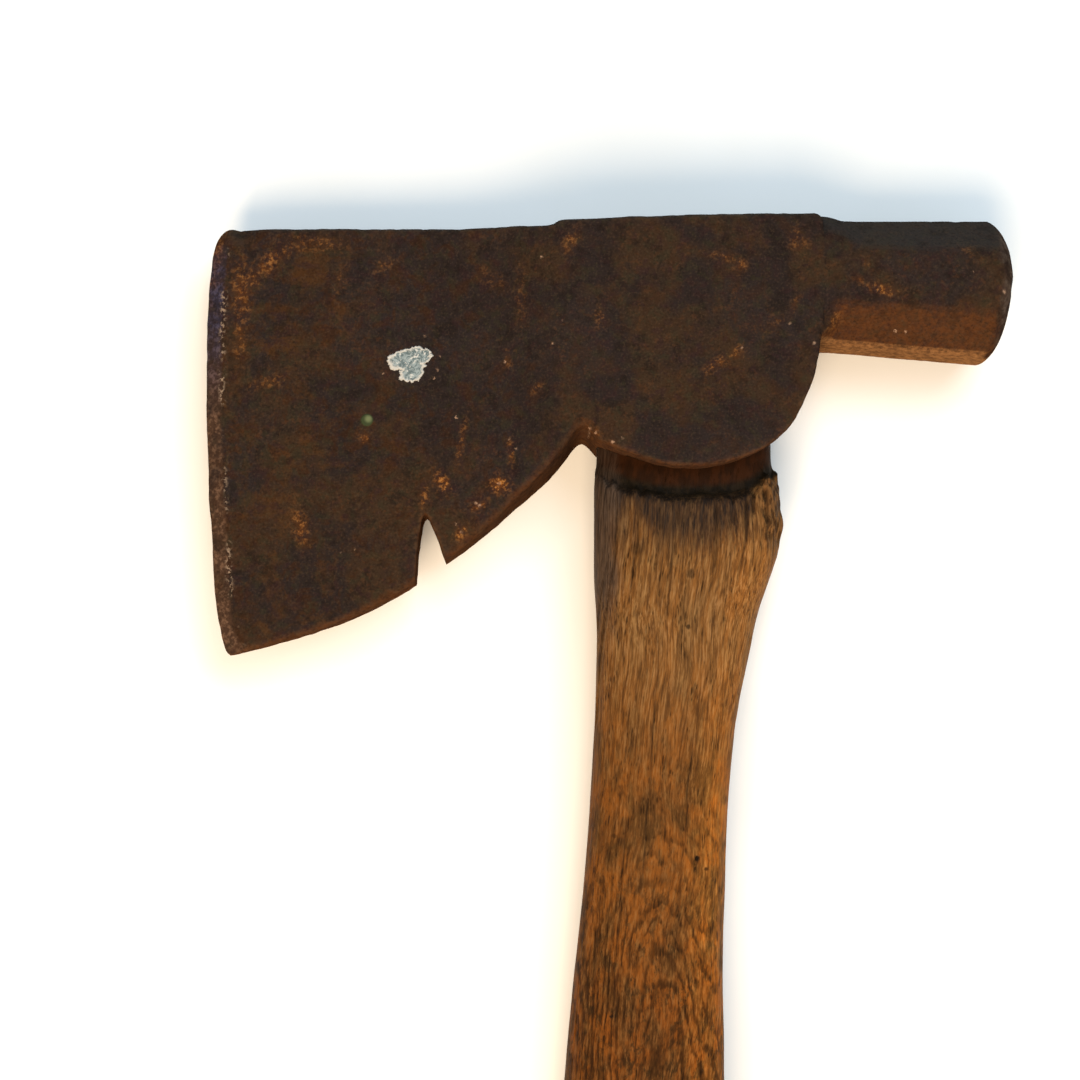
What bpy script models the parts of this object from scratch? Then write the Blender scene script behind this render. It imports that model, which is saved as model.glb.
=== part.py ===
"""A half hatchet lying on its side: forged head with a nail notch and a hammer poll, wooden handle,
wooden eye wedge and two barbed steel wedges.

Metres, +Z up. +X points at the poll's striking face, +Y at the top of the head, and the handle runs
towards -Y. The origin lies on the lower cheek's flat, straight below the middle of the eye.
"""

import math

import bmesh
import bpy
from mathutils import Vector

# Driving dimensions
HEAD_THICKNESS = 0.028  # across the cheeks
EDGE_X = -0.0986  # the foremost point of the cutting edge
FACE_X = 0.0660  # the poll's striking face
TOP_Y = 0.0199  # top of the blade and of the eye
HANDLE_END_Y = -0.3120  # the lowest point of the handle's foot
CLEARANCE = 0.0003  # gap between neighbouring pieces
MID_Z = HEAD_THICKNESS / 2

# Blade section
EDGE_LAND = 0.0005  # the worn cutting edge is this thick
EDGE_SWEEP_RADIUS = 0.650  # the cutting edge's arc in plan
EDGE_SWEEP_Y = -0.005  # height of the arc's foremost point
EDGE_BEVEL_SLOPE = 0.36  # half thickness gained per metre back from the edge
BLADE_HALF = 0.0013  # half thickness where the edge bevel starts
BLADE_TAPER = 0.062  # half thickness gained per metre towards the eye
SHOULDER_FROM = -0.056  # the blade swells into the cheeks between these two
SHOULDER_TO = -0.015

# Eye, a slot with round ends that runs through the head along Y
EYE_X = -0.00065
EYE_BOTTOM_Y = -0.031
EYE_BOTTOM_HALF = (0.01785, 0.0092)  # along X, along Z
EYE_TOP_HALF = (0.01845, 0.0098)
EYE_SQUARENESS = 2.5

# Poll, an octagonal hammer that flares a little towards its face
POLL_ROOT_X = 0.0225
POLL_ROOT_TOP_Y = 0.0200
POLL_TOP_Y = 0.0204
POLL_ROOT_HEIGHT = 0.0250
POLL_FACE_HEIGHT = 0.0276
POLL_THICKNESS = 0.0276
POLL_FACE_RADIUS = 0.0118  # of the flat land on the striking face
POLL_RIM = 0.0030  # depth of the turned chamfer round it

# Kerf and wedges
TENON_TOP_Y = 0.0192
KERF_DEPTH = 0.034
KERF_MOUTH_HALF = 0.0020
KERF_ROOT_HALF = 0.0007
STEEL_WEDGE_SPOTS = ((-0.0100, 24.0), (0.0085, -21.0))  # place along X, turn about Y in degrees
STEEL_WEDGE_WIDTH = 0.0125
STEEL_WEDGE_DEPTH = 0.0170
STEEL_WEDGE_HALF = 0.0014
STEEL_WEDGE_BARBS = 3

# Handle stations down from the eye: Y, front X, back X, half thickness, squareness of the section
HANDLE_STATIONS = (
    (-0.0302, -0.0186, 0.0173, 0.0089, 2.7),
    (-0.0325, -0.0188, 0.0180, 0.0092, 2.8),
    (-0.0352, -0.0188, 0.0188, 0.0110, 2.9),
    (-0.0410, -0.0189, 0.0194, 0.0118, 2.9),
    (-0.0470, -0.0189, 0.0188, 0.0121, 2.9),
    (-0.0560, -0.0188, 0.0151, 0.0121, 2.8),
    (-0.0660, -0.0188, 0.0128, 0.0120, 2.7),
    (-0.0800, -0.0191, 0.0098, 0.0117, 2.6),
    (-0.1000, -0.0200, 0.0077, 0.0112, 2.4),
    (-0.1250, -0.0225, 0.0066, 0.0109, 2.3),
    (-0.1500, -0.0250, 0.0067, 0.0111, 2.2),
    (-0.1760, -0.0268, 0.0071, 0.0115, 2.2),
    (-0.2020, -0.0266, 0.0074, 0.0118, 2.2),
    (-0.2270, -0.0243, 0.0074, 0.0116, 2.2),
    (-0.2500, -0.0215, 0.0078, 0.0112, 2.2),
    (-0.2700, -0.0208, 0.0100, 0.0113, 2.2),
    (-0.2860, -0.0235, 0.0138, 0.0124, 2.2),
    (-0.2980, -0.0270, 0.0168, 0.0136, 2.2),
    (-0.3050, -0.0280, 0.0172, 0.0140, 2.3),
)
FOOT_ROUNDING = 0.0035  # radius of the worn edge round the foot
FOOT_TILT = math.radians(11.0)  # the foot is cut with its toe, the blade side, lower
SECTION_SIDES = 40
STATION_STEPS = 3


def material(name, color, roughness, metallic):
    """A Principled material of one colour."""
    made = bpy.data.materials.new(name)
    made.use_nodes = True
    shader = made.node_tree.nodes["Principled BSDF"]
    shader.inputs["Base Color"].default_value = (*color, 1.0)
    shader.inputs["Roughness"].default_value = roughness
    shader.inputs["Metallic"].default_value = metallic
    return made


def new_collection(name):
    made = bpy.data.collections.new(name)
    bpy.context.scene.collection.children.link(made)
    return made


def add_object(name, data, collection):
    obj = bpy.data.objects.new(name, data)
    collection.objects.link(obj)
    return obj


def as_cutter(obj):
    """Hides a helper that only shapes other objects."""
    obj.hide_render = True
    obj.display_type = "WIRE"
    return obj


def boolean(obj, operation, other):
    modifier = obj.modifiers.new(f"{operation.lower()}_{other.name}", "BOOLEAN")
    modifier.operation = operation
    modifier.solver = "EXACT"
    modifier.object = other


def arc(start, through, end, steps):
    """Points on the circle through three points, from start to just before end."""
    (ax, ay), (bx, by), (cx, cy) = start, through, end
    d = 2 * (ax * (by - cy) + bx * (cy - ay) + cx * (ay - by))
    a2, b2, c2 = ax * ax + ay * ay, bx * bx + by * by, cx * cx + cy * cy
    ox = (a2 * (by - cy) + b2 * (cy - ay) + c2 * (ay - by)) / d
    oy = (a2 * (cx - bx) + b2 * (ax - cx) + c2 * (bx - ax)) / d
    radius = math.hypot(ax - ox, ay - oy)
    first = math.atan2(ay - oy, ax - ox)
    middle = (math.atan2(by - oy, bx - ox) - first) % math.tau
    last = (math.atan2(cy - oy, cx - ox) - first) % math.tau
    sweep = last if middle < last else last - math.tau
    angles = [first + sweep * i / steps for i in range(steps)]
    return [(ox + radius * math.cos(t), oy + radius * math.sin(t)) for t in angles]


def extruded(name, outline, half, collection):
    """A closed 2D outline filled and extruded by half each way along Z, as a welded mesh."""
    curve = bpy.data.curves.new(name + "_outline", "CURVE")
    curve.dimensions = "2D"
    curve.fill_mode = "BOTH"
    curve.extrude = half
    spline = curve.splines.new("POLY")
    spline.points.add(len(outline) - 1)
    for point, (x, y) in zip(spline.points, outline):
        point.co = (x, y, 0.0, 1.0)
    spline.use_cyclic_u = True
    drawn = add_object(name + "_curve", curve, collection)
    bpy.context.view_layer.update()
    graph = bpy.context.evaluated_depsgraph_get()
    mesh = bpy.data.meshes.new_from_object(drawn.evaluated_get(graph))
    bpy.data.objects.remove(drawn)
    edited = bmesh.new()
    edited.from_mesh(mesh)
    bmesh.ops.remove_doubles(edited, verts=edited.verts, dist=1e-6)
    bmesh.ops.recalc_face_normals(edited, faces=edited.faces)
    edited.to_mesh(mesh)
    edited.free()
    return add_object(name, mesh, collection)


def lofted(name, rings, collection):
    """A closed body through rings that all have the same number of points."""
    edited = bmesh.new()
    rows = [[edited.verts.new(point) for point in ring] for ring in rings]
    sides = len(rows[0])
    for row, after in zip(rows, rows[1:]):
        for i in range(sides):
            j = (i + 1) % sides
            edited.faces.new((row[i], row[j], after[j], after[i]))
    edited.faces.new(rows[0])
    edited.faces.new(rows[-1])
    bmesh.ops.recalc_face_normals(edited, faces=edited.faces)
    mesh = bpy.data.meshes.new(name)
    edited.to_mesh(mesh)
    edited.free()
    return add_object(name, mesh, collection)


def oval_ring(y, centre_x, half_x, half_z, squareness, tilt=0.0):
    """A rounded oval across the handle: above a squareness of 2, the ellipse's corners fill out."""
    points = []
    for i in range(SECTION_SIDES):
        angle = math.tau * i / SECTION_SIDES
        c, s = math.cos(angle), math.sin(angle)
        x = math.copysign(abs(c) ** (2 / squareness), c) * half_x
        z = math.copysign(abs(s) ** (2 / squareness), s) * half_z
        points.append((centre_x + x, y + x * math.tan(tilt), MID_Z + z))
    return points


def eye_half_sizes(y):
    """Half sizes of the eye at height y: it widens evenly from its bottom to the top of the head."""
    share = (y - EYE_BOTTOM_Y) / (TOP_Y - EYE_BOTTOM_Y)
    return [low + (high - low) * share for low, high in zip(EYE_BOTTOM_HALF, EYE_TOP_HALF)]


def smooth_step(value):
    t = min(1.0, max(0.0, value))
    return t * t * (3 - 2 * t)


def head_outline():
    """The head without its poll, seen from the side, starting at the blade's upper corner."""
    notch_mouth, notch_left, notch_tip = (-0.0552, -0.0536), (-0.0541, -0.0408), (-0.0493, -0.0492)
    points = arc((-0.0930, TOP_Y), (-0.0961, 0.0184), (-0.0978, 0.0132), 8)
    points += arc((-0.0978, 0.0132), (-0.0986, -0.0060), (-0.0963, -0.0557), 20)
    points += arc((-0.0963, -0.0557), (-0.0951, -0.0625), (-0.0931, -0.0676), 6)
    points += arc((-0.0931, -0.0676), (-0.0926, -0.0680), (-0.0918, -0.0680), 3)
    points += arc((-0.0918, -0.0680), (-0.0732, -0.0622), notch_mouth, 14)
    points += [notch_mouth]
    points += arc(notch_left, (-0.0533, -0.0397), (-0.0524, -0.0408), 6)
    points += [(-0.0524, -0.0408)]
    points += arc(notch_tip, (-0.0362, -0.0384), (-0.0243, -0.0257), 12)
    points += arc((-0.0243, -0.0257), (-0.0217, -0.0233), (-0.0190, -0.0250), 6)
    points += arc((-0.0190, -0.0250), (-0.0020, -0.0311), (0.0160, -0.0270), 16)
    points += arc((0.0160, -0.0270), (0.0234, -0.0172), (0.0272, -0.0010), 12)
    points += [(0.0272, -0.0010)]
    points += arc((0.0272, 0.0180), (0.0264, 0.0197), (0.0245, 0.0203), 4)
    points += [(0.0245, 0.0203), (-0.0250, 0.0192)]
    points += arc((-0.0265, 0.0189), (-0.0278, 0.0184), (-0.0300, 0.0182), 4)
    return points + [(-0.0300, 0.0182)]


def blade_half_thickness(x):
    swell = MID_Z - BLADE_HALF - BLADE_TAPER * (SHOULDER_TO - EDGE_X)
    share = (x - SHOULDER_FROM) / (SHOULDER_TO - SHOULDER_FROM)
    return BLADE_HALF + BLADE_TAPER * (min(x, SHOULDER_TO) - EDGE_X) + swell * smooth_step(share)


def taper_body(cutters):
    """The head's plan from above: a thin wedge that swells into the cheeks, extruded along Y."""
    beyond = 0.01
    steps = 40
    span = SHOULDER_TO - EDGE_X + beyond
    xs = [EDGE_X - beyond + span * i / steps for i in range(steps + 1)] + [FACE_X + beyond]
    upper = [(x, MID_Z + blade_half_thickness(x)) for x in xs]
    lower = [(x, MID_Z - blade_half_thickness(x)) for x in reversed(xs)]
    body = extruded("taper", upper + lower, 0.12, cutters)
    body.rotation_euler = (math.radians(90.0), 0.0, 0.0)
    return as_cutter(body)


def edge_body(cutters):
    """A wide disc with a two-sided bevel: its rim is the swept cutting edge."""
    half_height = 0.020
    depth = (half_height - EDGE_LAND / 2) / EDGE_BEVEL_SLOPE
    radius = EDGE_SWEEP_RADIUS
    profile = [(0.0, half_height), (radius - depth, half_height), (radius, EDGE_LAND / 2)]
    profile += [(radius, -EDGE_LAND / 2), (radius - depth, -half_height), (0.0, -half_height)]
    centre = Vector((EDGE_X + EDGE_SWEEP_RADIUS, EDGE_SWEEP_Y, MID_Z))
    return as_cutter(turned("edge_bevel", profile, "Z", centre, 480, cutters))


def turned(name, profile, axis, centre, steps, collection):
    """A profile of (radius, height) points, top to bottom, turned about its own axis."""
    edited = bmesh.new()
    points = [edited.verts.new((radius, 0.0, height)) for radius, height in profile]
    for point, after in zip(points, points[1:]):
        edited.edges.new((point, after))
    mesh = bpy.data.meshes.new(name)
    edited.to_mesh(mesh)
    edited.free()
    obj = add_object(name, mesh, collection)
    obj.location = centre
    if axis == "X":
        obj.rotation_euler = (0.0, math.radians(90.0), 0.0)
    screw = obj.modifiers.new("turn", "SCREW")
    screw.steps = screw.render_steps = steps
    screw.use_merge_vertices = True
    screw.merge_threshold = 1e-5
    return obj


def octagon(x, low_y, high_y, thickness):
    """An eight-sided ring across the poll, with all its sides the same share of its size."""
    flat = math.tan(math.radians(22.5))
    half_y, half_z = (high_y - low_y) / 2, thickness / 2
    shares = [(1, flat), (flat, 1), (-flat, 1), (-1, flat)]
    shares += [(-a, -b) for a, b in shares]
    middle = (low_y + high_y) / 2
    return [(x, middle + a * half_y, MID_Z + b * half_z) for a, b in shares]


def poll_body(cutters):
    """The octagonal hammer with a turned chamfer round its striking face."""
    root = octagon(POLL_ROOT_X, POLL_ROOT_TOP_Y - POLL_ROOT_HEIGHT, POLL_ROOT_TOP_Y, POLL_THICKNESS)
    face = octagon(FACE_X, POLL_TOP_Y - POLL_FACE_HEIGHT, POLL_TOP_Y, POLL_THICKNESS)
    body = as_cutter(lofted("poll", (root, face), cutters))
    reach = POLL_FACE_HEIGHT
    profile = [(0.0, 0.0), (POLL_FACE_RADIUS, 0.0), (POLL_FACE_RADIUS + POLL_RIM, -POLL_RIM)]
    profile += [(reach, -POLL_RIM * 4), (reach, -0.080), (0.0, -0.080)]
    centre = Vector((FACE_X, POLL_TOP_Y - POLL_FACE_HEIGHT / 2, MID_Z))
    rim = as_cutter(turned("poll_rim", profile, "X", centre, 64, cutters))
    boolean(body, "INTERSECT", rim)
    return body


def eye_body(cutters):
    rings = []
    for y in (EYE_BOTTOM_Y - 0.010, TOP_Y + 0.010):
        half_x, half_z = eye_half_sizes(y)
        rings.append(oval_ring(y, EYE_X, half_x, half_z, EYE_SQUARENESS))
    return as_cutter(lofted("eye", rings, cutters))


def build_head(parts, cutters):
    """The side outline, cut to the blade's taper and edge, with the poll added and the eye cut through."""
    head = extruded("head", head_outline(), HEAD_THICKNESS, parts)
    head.location = (0.0, 0.0, MID_Z)
    boolean(head, "INTERSECT", taper_body(cutters))
    boolean(head, "INTERSECT", edge_body(cutters))
    boolean(head, "UNION", poll_body(cutters))
    boolean(head, "DIFFERENCE", eye_body(cutters))
    return head


def between_stations(stations, steps):
    """Rows on a smooth curve through the stations, with steps rows from each station to the next."""
    rows = []
    for i in range(len(stations) - 1):
        before = stations[max(i - 1, 0)]
        start, end = stations[i], stations[i + 1]
        after = stations[min(i + 2, len(stations) - 1)]
        for k in range(steps):
            rows.append([catmull_rom(*four, k / steps) for four in zip(before, start, end, after)])
    return rows + [list(stations[-1])]


def catmull_rom(a, b, c, d, t):
    return b + 0.5 * t * (c - a + t * (2 * a - 5 * b + 4 * c - d + t * (3 * (b - c) + d - a)))


def handle_rings():
    """The tenon inside the eye, the neck, the body and the foot with its worn edge, top to bottom."""
    rings = []
    for y in (TENON_TOP_Y, EYE_BOTTOM_Y + 0.0025):
        half_x, half_z = (half - CLEARANCE for half in eye_half_sizes(y))
        rings.append(oval_ring(y, EYE_X, half_x, half_z, EYE_SQUARENESS))
    rows = between_stations(HANDLE_STATIONS, STATION_STEPS)
    first_y, last_y = rows[0][0], rows[-1][0]
    for y, front, back, half_z, squareness in rows:
        tilt = FOOT_TILT * smooth_step((y - first_y) / (last_y - first_y) * 4 - 3)
        rings.append(oval_ring(y, (front + back) / 2, (back - front) / 2, half_z, squareness, tilt))
    y, front, back, half_z, squareness = rows[-1]
    for angle in (30.0, 60.0, 90.0):
        inset = FOOT_ROUNDING * (1 - math.cos(math.radians(angle)))
        drop = FOOT_ROUNDING * math.sin(math.radians(angle))
        half_x = (back - front) / 2 - inset
        centre = (front + back) / 2
        rings.append(oval_ring(y - drop, centre, half_x, half_z - inset, squareness, FOOT_TILT))
    return rings


def wedge_profile(mouth_half, root_half, top_y, depth):
    root_y = top_y - depth
    return [(-mouth_half, top_y), (mouth_half, top_y), (root_half, root_y), (-root_half, root_y)]


def kerf_body(cutters):
    """The saw kerf in the tenon, spread by the wooden wedge."""
    above = 0.004
    slope = (KERF_MOUTH_HALF - KERF_ROOT_HALF) / KERF_DEPTH
    profile = wedge_profile(
        KERF_MOUTH_HALF + slope * above, KERF_ROOT_HALF, TENON_TOP_Y + above, KERF_DEPTH + above
    )
    kerf = extruded("kerf", profile, 0.030, cutters)
    kerf.rotation_euler = (0.0, math.radians(90.0), 0.0)
    kerf.location = (EYE_X, 0.0, MID_Z)
    return as_cutter(kerf)


def steel_profile():
    """The outline of a barbed wedge: each face steps out again a little below every barb."""
    step = STEEL_WEDGE_DEPTH / STEEL_WEDGE_BARBS
    barb = 0.00025
    tip = 0.0002
    right = []
    for i in range(STEEL_WEDGE_BARBS):
        here = STEEL_WEDGE_HALF + (tip - STEEL_WEDGE_HALF) * i / STEEL_WEDGE_BARBS
        below = STEEL_WEDGE_HALF + (tip - STEEL_WEDGE_HALF) * (i + 1) / STEEL_WEDGE_BARBS
        right += [(here, -step * i), (below - barb * (i < STEEL_WEDGE_BARBS - 1), -step * (i + 1))]
    left = [(-x, y) for x, y in reversed(right)]
    return right + left


def steel_slot(index, x, turn, cutters):
    """The split that a steel wedge makes in the wood, with clearance all round it."""
    above = 0.004
    slope = STEEL_WEDGE_HALF / STEEL_WEDGE_DEPTH
    half = STEEL_WEDGE_HALF + CLEARANCE * 1.2
    depth = STEEL_WEDGE_DEPTH + CLEARANCE * 2
    profile = wedge_profile(half + slope * above, CLEARANCE * 2.2, above, depth + above)
    slot = extruded(f"steel_slot_{index}", profile, STEEL_WEDGE_WIDTH / 2 + CLEARANCE, cutters)
    return as_cutter(placed_wedge(slot, x, turn))


def placed_wedge(obj, x, turn):
    obj.location = (x, TENON_TOP_Y, MID_Z)
    obj.rotation_euler = (0.0, math.radians(turn), 0.0)
    return obj


def build_handle(parts, cutters, slots):
    handle = lofted("handle", handle_rings(), parts)
    boolean(handle, "DIFFERENCE", kerf_body(cutters))
    for slot in slots:
        boolean(handle, "DIFFERENCE", slot)
    return handle


def build_wooden_wedge(parts, slots):
    """The wedge that fills the kerf from end to end of the eye."""
    profile = wedge_profile(
        KERF_MOUTH_HALF - CLEARANCE, KERF_ROOT_HALF - CLEARANCE, TENON_TOP_Y, KERF_DEPTH - CLEARANCE
    )
    wedge = extruded("wooden_wedge", profile, EYE_BOTTOM_HALF[0] - 0.0006, parts)
    wedge.rotation_euler = (0.0, math.radians(90.0), 0.0)
    wedge.location = (EYE_X, 0.0, MID_Z)
    for slot in slots:
        boolean(wedge, "DIFFERENCE", slot)
    return wedge


def build_steel_wedge(name, x, turn, parts):
    return placed_wedge(extruded(name, steel_profile(), STEEL_WEDGE_WIDTH / 2, parts), x, turn)


def shade(obj, surface, sharp_degrees=30.0):
    obj.data.materials.clear()
    obj.data.materials.append(surface)
    obj.data.shade_smooth()
    obj.data.set_sharp_from_angle(angle=math.radians(sharp_degrees))


def main():
    for obj in list(bpy.data.objects):
        bpy.data.objects.remove(obj, do_unlink=True)
    parts = new_collection("half_hatchet")
    cutters = new_collection("cutters")
    rusty_steel = material("rusty_forged_steel", (0.045, 0.026, 0.016), 0.75, 0.4)
    handle_wood = material("aged_handle_wood", (0.150, 0.070, 0.026), 0.60, 0.0)
    wedge_wood = material("wedge_wood", (0.200, 0.110, 0.050), 0.70, 0.0)
    wedge_steel = material("wedge_steel", (0.070, 0.050, 0.040), 0.60, 0.6)

    slots = [steel_slot(i, x, turn, cutters) for i, (x, turn) in enumerate(STEEL_WEDGE_SPOTS)]
    shade(build_head(parts, cutters), rusty_steel)
    shade(build_handle(parts, cutters, slots), handle_wood)
    shade(build_wooden_wedge(parts, slots), wedge_wood)
    for name, (x, turn) in zip(("front_steel_wedge", "rear_steel_wedge"), STEEL_WEDGE_SPOTS):
        shade(build_steel_wedge(name, x, turn, parts), wedge_steel)


main()
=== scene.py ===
"""Looks for the half hatchet: a rusted forged head, an aged handle and its wedges, lying on a pale floor.

Every piece is made in the CAD's own frame: metres, +X towards the hammer face, +Y towards the top of
the head, +Z up through the thickness. Lengths in the tables and in the mesh code are in millimetres.
"""

import math

import bmesh
import bpy
import numpy as np
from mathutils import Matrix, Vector
from mathutils.geometry import delaunay_2d_cdt


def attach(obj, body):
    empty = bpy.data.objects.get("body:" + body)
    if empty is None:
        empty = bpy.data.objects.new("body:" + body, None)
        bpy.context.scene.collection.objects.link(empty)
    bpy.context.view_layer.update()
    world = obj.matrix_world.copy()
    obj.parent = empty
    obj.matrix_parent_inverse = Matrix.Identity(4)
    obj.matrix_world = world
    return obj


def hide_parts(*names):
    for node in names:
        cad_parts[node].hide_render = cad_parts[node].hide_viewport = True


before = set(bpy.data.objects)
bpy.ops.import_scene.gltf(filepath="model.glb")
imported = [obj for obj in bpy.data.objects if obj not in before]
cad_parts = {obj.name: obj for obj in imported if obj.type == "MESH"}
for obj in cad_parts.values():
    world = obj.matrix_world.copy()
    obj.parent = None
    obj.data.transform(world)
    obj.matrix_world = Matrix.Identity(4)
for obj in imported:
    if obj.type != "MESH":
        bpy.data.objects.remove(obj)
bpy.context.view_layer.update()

BODY = "root"
MM = 0.001
MID_Z = 14

# ---- head, side view: X and Y along each run of the outline

CUTTING_EDGE = (
    (-91.9, 19.6), (-93.7, 19.9), (-95.3, 19.3), (-96.7, 17.2), (-97.8, 13.2), (-98.5, 3.1), (-98.6, -6),
    (-98.3, -22), (-97.5, -38), (-96.3, -55.6), (-95.3, -62), (-93.9, -67), (-92.9, -68.1),
)
BEARD_FRONT = (
    (-92.9, -68.2), (-91, -67.8), (-83, -65.6), (-75, -63.1), (-66.9, -60.1), (-58.8, -55.9), (-55.3, -53.7),
)
NOTCH = (
    (-55.3, -53.7), (-55, -49.4), (-54.5, -44.2), (-54, -41), (-53.3, -39.8), (-52.7, -40.5), (-51.6, -43.2),
    (-50.5, -45.9), (-49.3, -49.3),
)
BEARD_BACK = (
    (-49.3, -49.3), (-46.5, -47.3), (-38.3, -40.5), (-30.1, -32.7), (-25.9, -28), (-23.6, -25), (-22, -23.3),
    (-20.6, -23.4), (-18.6, -25.6),
)
LOBE = (
    (-18.6, -25.6), (-14.1, -27.9), (-6.2, -30.5), (0, -31.1), (5.8, -30.7), (11.8, -29.1), (15.9, -27),
    (20.7, -22.3), (23.9, -15.8), (25.7, -9.3), (26.7, -3), (27.2, 3),
)
EYE_BACK = ((27.2, 3), (27.3, 12), (27.1, 18), (26.3, 19.8), (24.6, 20.3))
TOP_EDGE = (
    (24.6, 20.3), (14, 20.3), (2, 20.1), (-12, 19.6), (-23.6, 19.1), (-26.4, 18.9), (-28.2, 18.2),
    (-36, 18.5), (-50, 19), (-70, 19.4), (-84, 19.6), (-91.9, 19.7),
)
OUTLINE = (CUTTING_EDGE, BEARD_FRONT, NOTCH, BEARD_BACK, LOBE, EYE_BACK, TOP_EDGE)
# half thickness against X
BLADE_SECTION = (
    (-100, 1.75), (-94, 2.15), (-75, 3.6), (-55, 5.1), (-44, 6.9), (-37, 9.2), (-31, 11.9), (-26.5, 13.5),
    (-22.5, 13.95), (-18, 14), (30, 14),
)
BEVEL_SLOPE = 0.52
EDGE_HALF = 0.2
BEVEL_WIDTH = 3.4
BEVEL_TOP_Y = 17.5  # the ground bevel fades above this
NOTCH_MOUTH_X = (-56.5, -49)
NOTCH_TOP_Y = -38.5
LOBE_DRAFT = 2.2
RIM_RADII = (2.3, 0.6, 2.5, 0.9, 0.3, 1)  # rounding of each run of the outline after the cutting edge

# ---- poll

POLL_START_X = 19
POLL_TOP_Y = 20.7
POLL_ROOT = (27, 25.6)  # X, height
POLL_WIDE = (60, 28.4)
POLL_HALF = 13.8
POLL_FACE_X = 66.6
POLL_CROWN_RADIUS = 62.5
POLL_LAND = 8.3  # from the axis to the start of the rim's rounding
POLL_RIM_WIDTH = 6.6
POLL_RIM_DEPTH = 3.5
POLL_CORNERS = (1.19, 1.38)  # reach of the square root's upper and lower corners, in half heights
ROOT_X = (24.8, 30.5)  # the hammer grows out of the cheeks between these
FLAT_TURN = math.pi / 4  # from one flat of the octagon to the next

# ---- handle and wedges

EYE_X = -0.65
EYE_BOTTOM_Y = -31
EYE_TOP_Y = 19.9
EYE_BOTTOM_HALF = (17.85, 9.2)
EYE_TOP_HALF = (18.45, 9.8)
EYE_SQUARENESS = 2.5
TENON_TOP_Y = 19.2
TENON_GAP = 0.22
# Y, front X, back X, half thickness, squareness
HANDLE_STATIONS = (
    (-28, -18.6, 17.2, 8.8, 2.5), (-31.2, -18.7, 17.5, 9.1, 2.6), (-32.3, -18.7, 18.3, 10.5, 2.7),
    (-34, -18.8, 18.6, 11.4, 2.8), (-40.6, -18.9, 19, 11.9, 2.8), (-46.8, -18.9, 18.5, 12.1, 2.8),
    (-52.8, -18.9, 16.6, 12.1, 2.8), (-60, -18.7, 14.1, 12, 2.7), (-70, -18.7, 11.9, 11.9, 2.6),
    (-83, -19.2, 9.4, 11.6, 2.5), (-101, -20.1, 7.6, 11.2, 2.4), (-125, -22.5, 6.6, 10.9, 2.3),
    (-150, -25, 6.7, 11.1, 2.2), (-176, -26.8, 7.1, 11.5, 2.2), (-202, -26.6, 7.4, 11.8, 2.2),
    (-227, -24.3, 7.4, 11.6, 2.2), (-250, -21.5, 7.8, 11.2, 2.2), (-270, -20.8, 10, 11.3, 2.2),
    (-286, -23.5, 13.8, 12.4, 2.2), (-298, -27, 16.8, 13.6, 2.2), (-305, -28, 17.2, 13.95, 2.3),
)
HANDLE_TOP_Y, HANDLE_END_Y = HANDLE_STATIONS[0][0], HANDLE_STATIONS[-1][0]
SHOULDER_Y = -32  # at the handle's front and back; it bows down round the cheeks
SHOULDER_BOW = 5.2
SHOULDER_BOW_POWER = 2.2
RING_WIDTH = 1.9
FOOT_TILT = math.tan(math.radians(11))
FOOT_ROUNDING = 3.5
TORN_X = 13  # the shoulder's corner is torn behind this, between these heights
TORN_Y = (-50, -31)
TORN_DEPTH = 0.55
KERF_MOUTH_HALF = 2
KERF_ROOT_HALF = 0.7
KERF_DEPTH = 34
# piece, CAD node, X, turn in degrees
STEEL_WEDGES = (
    ("front_steel_wedge_worn", "front_steel_wedge", -10, 24),
    ("rear_steel_wedge_worn", "rear_steel_wedge", 8.5, -21),
)
STEEL_WIDTH = 12.5
STEEL_DEPTH = 17
STEEL_HALF = 1.4
STEEL_TIP_HALF = 0.2

# ---- marks on the upper side

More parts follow.
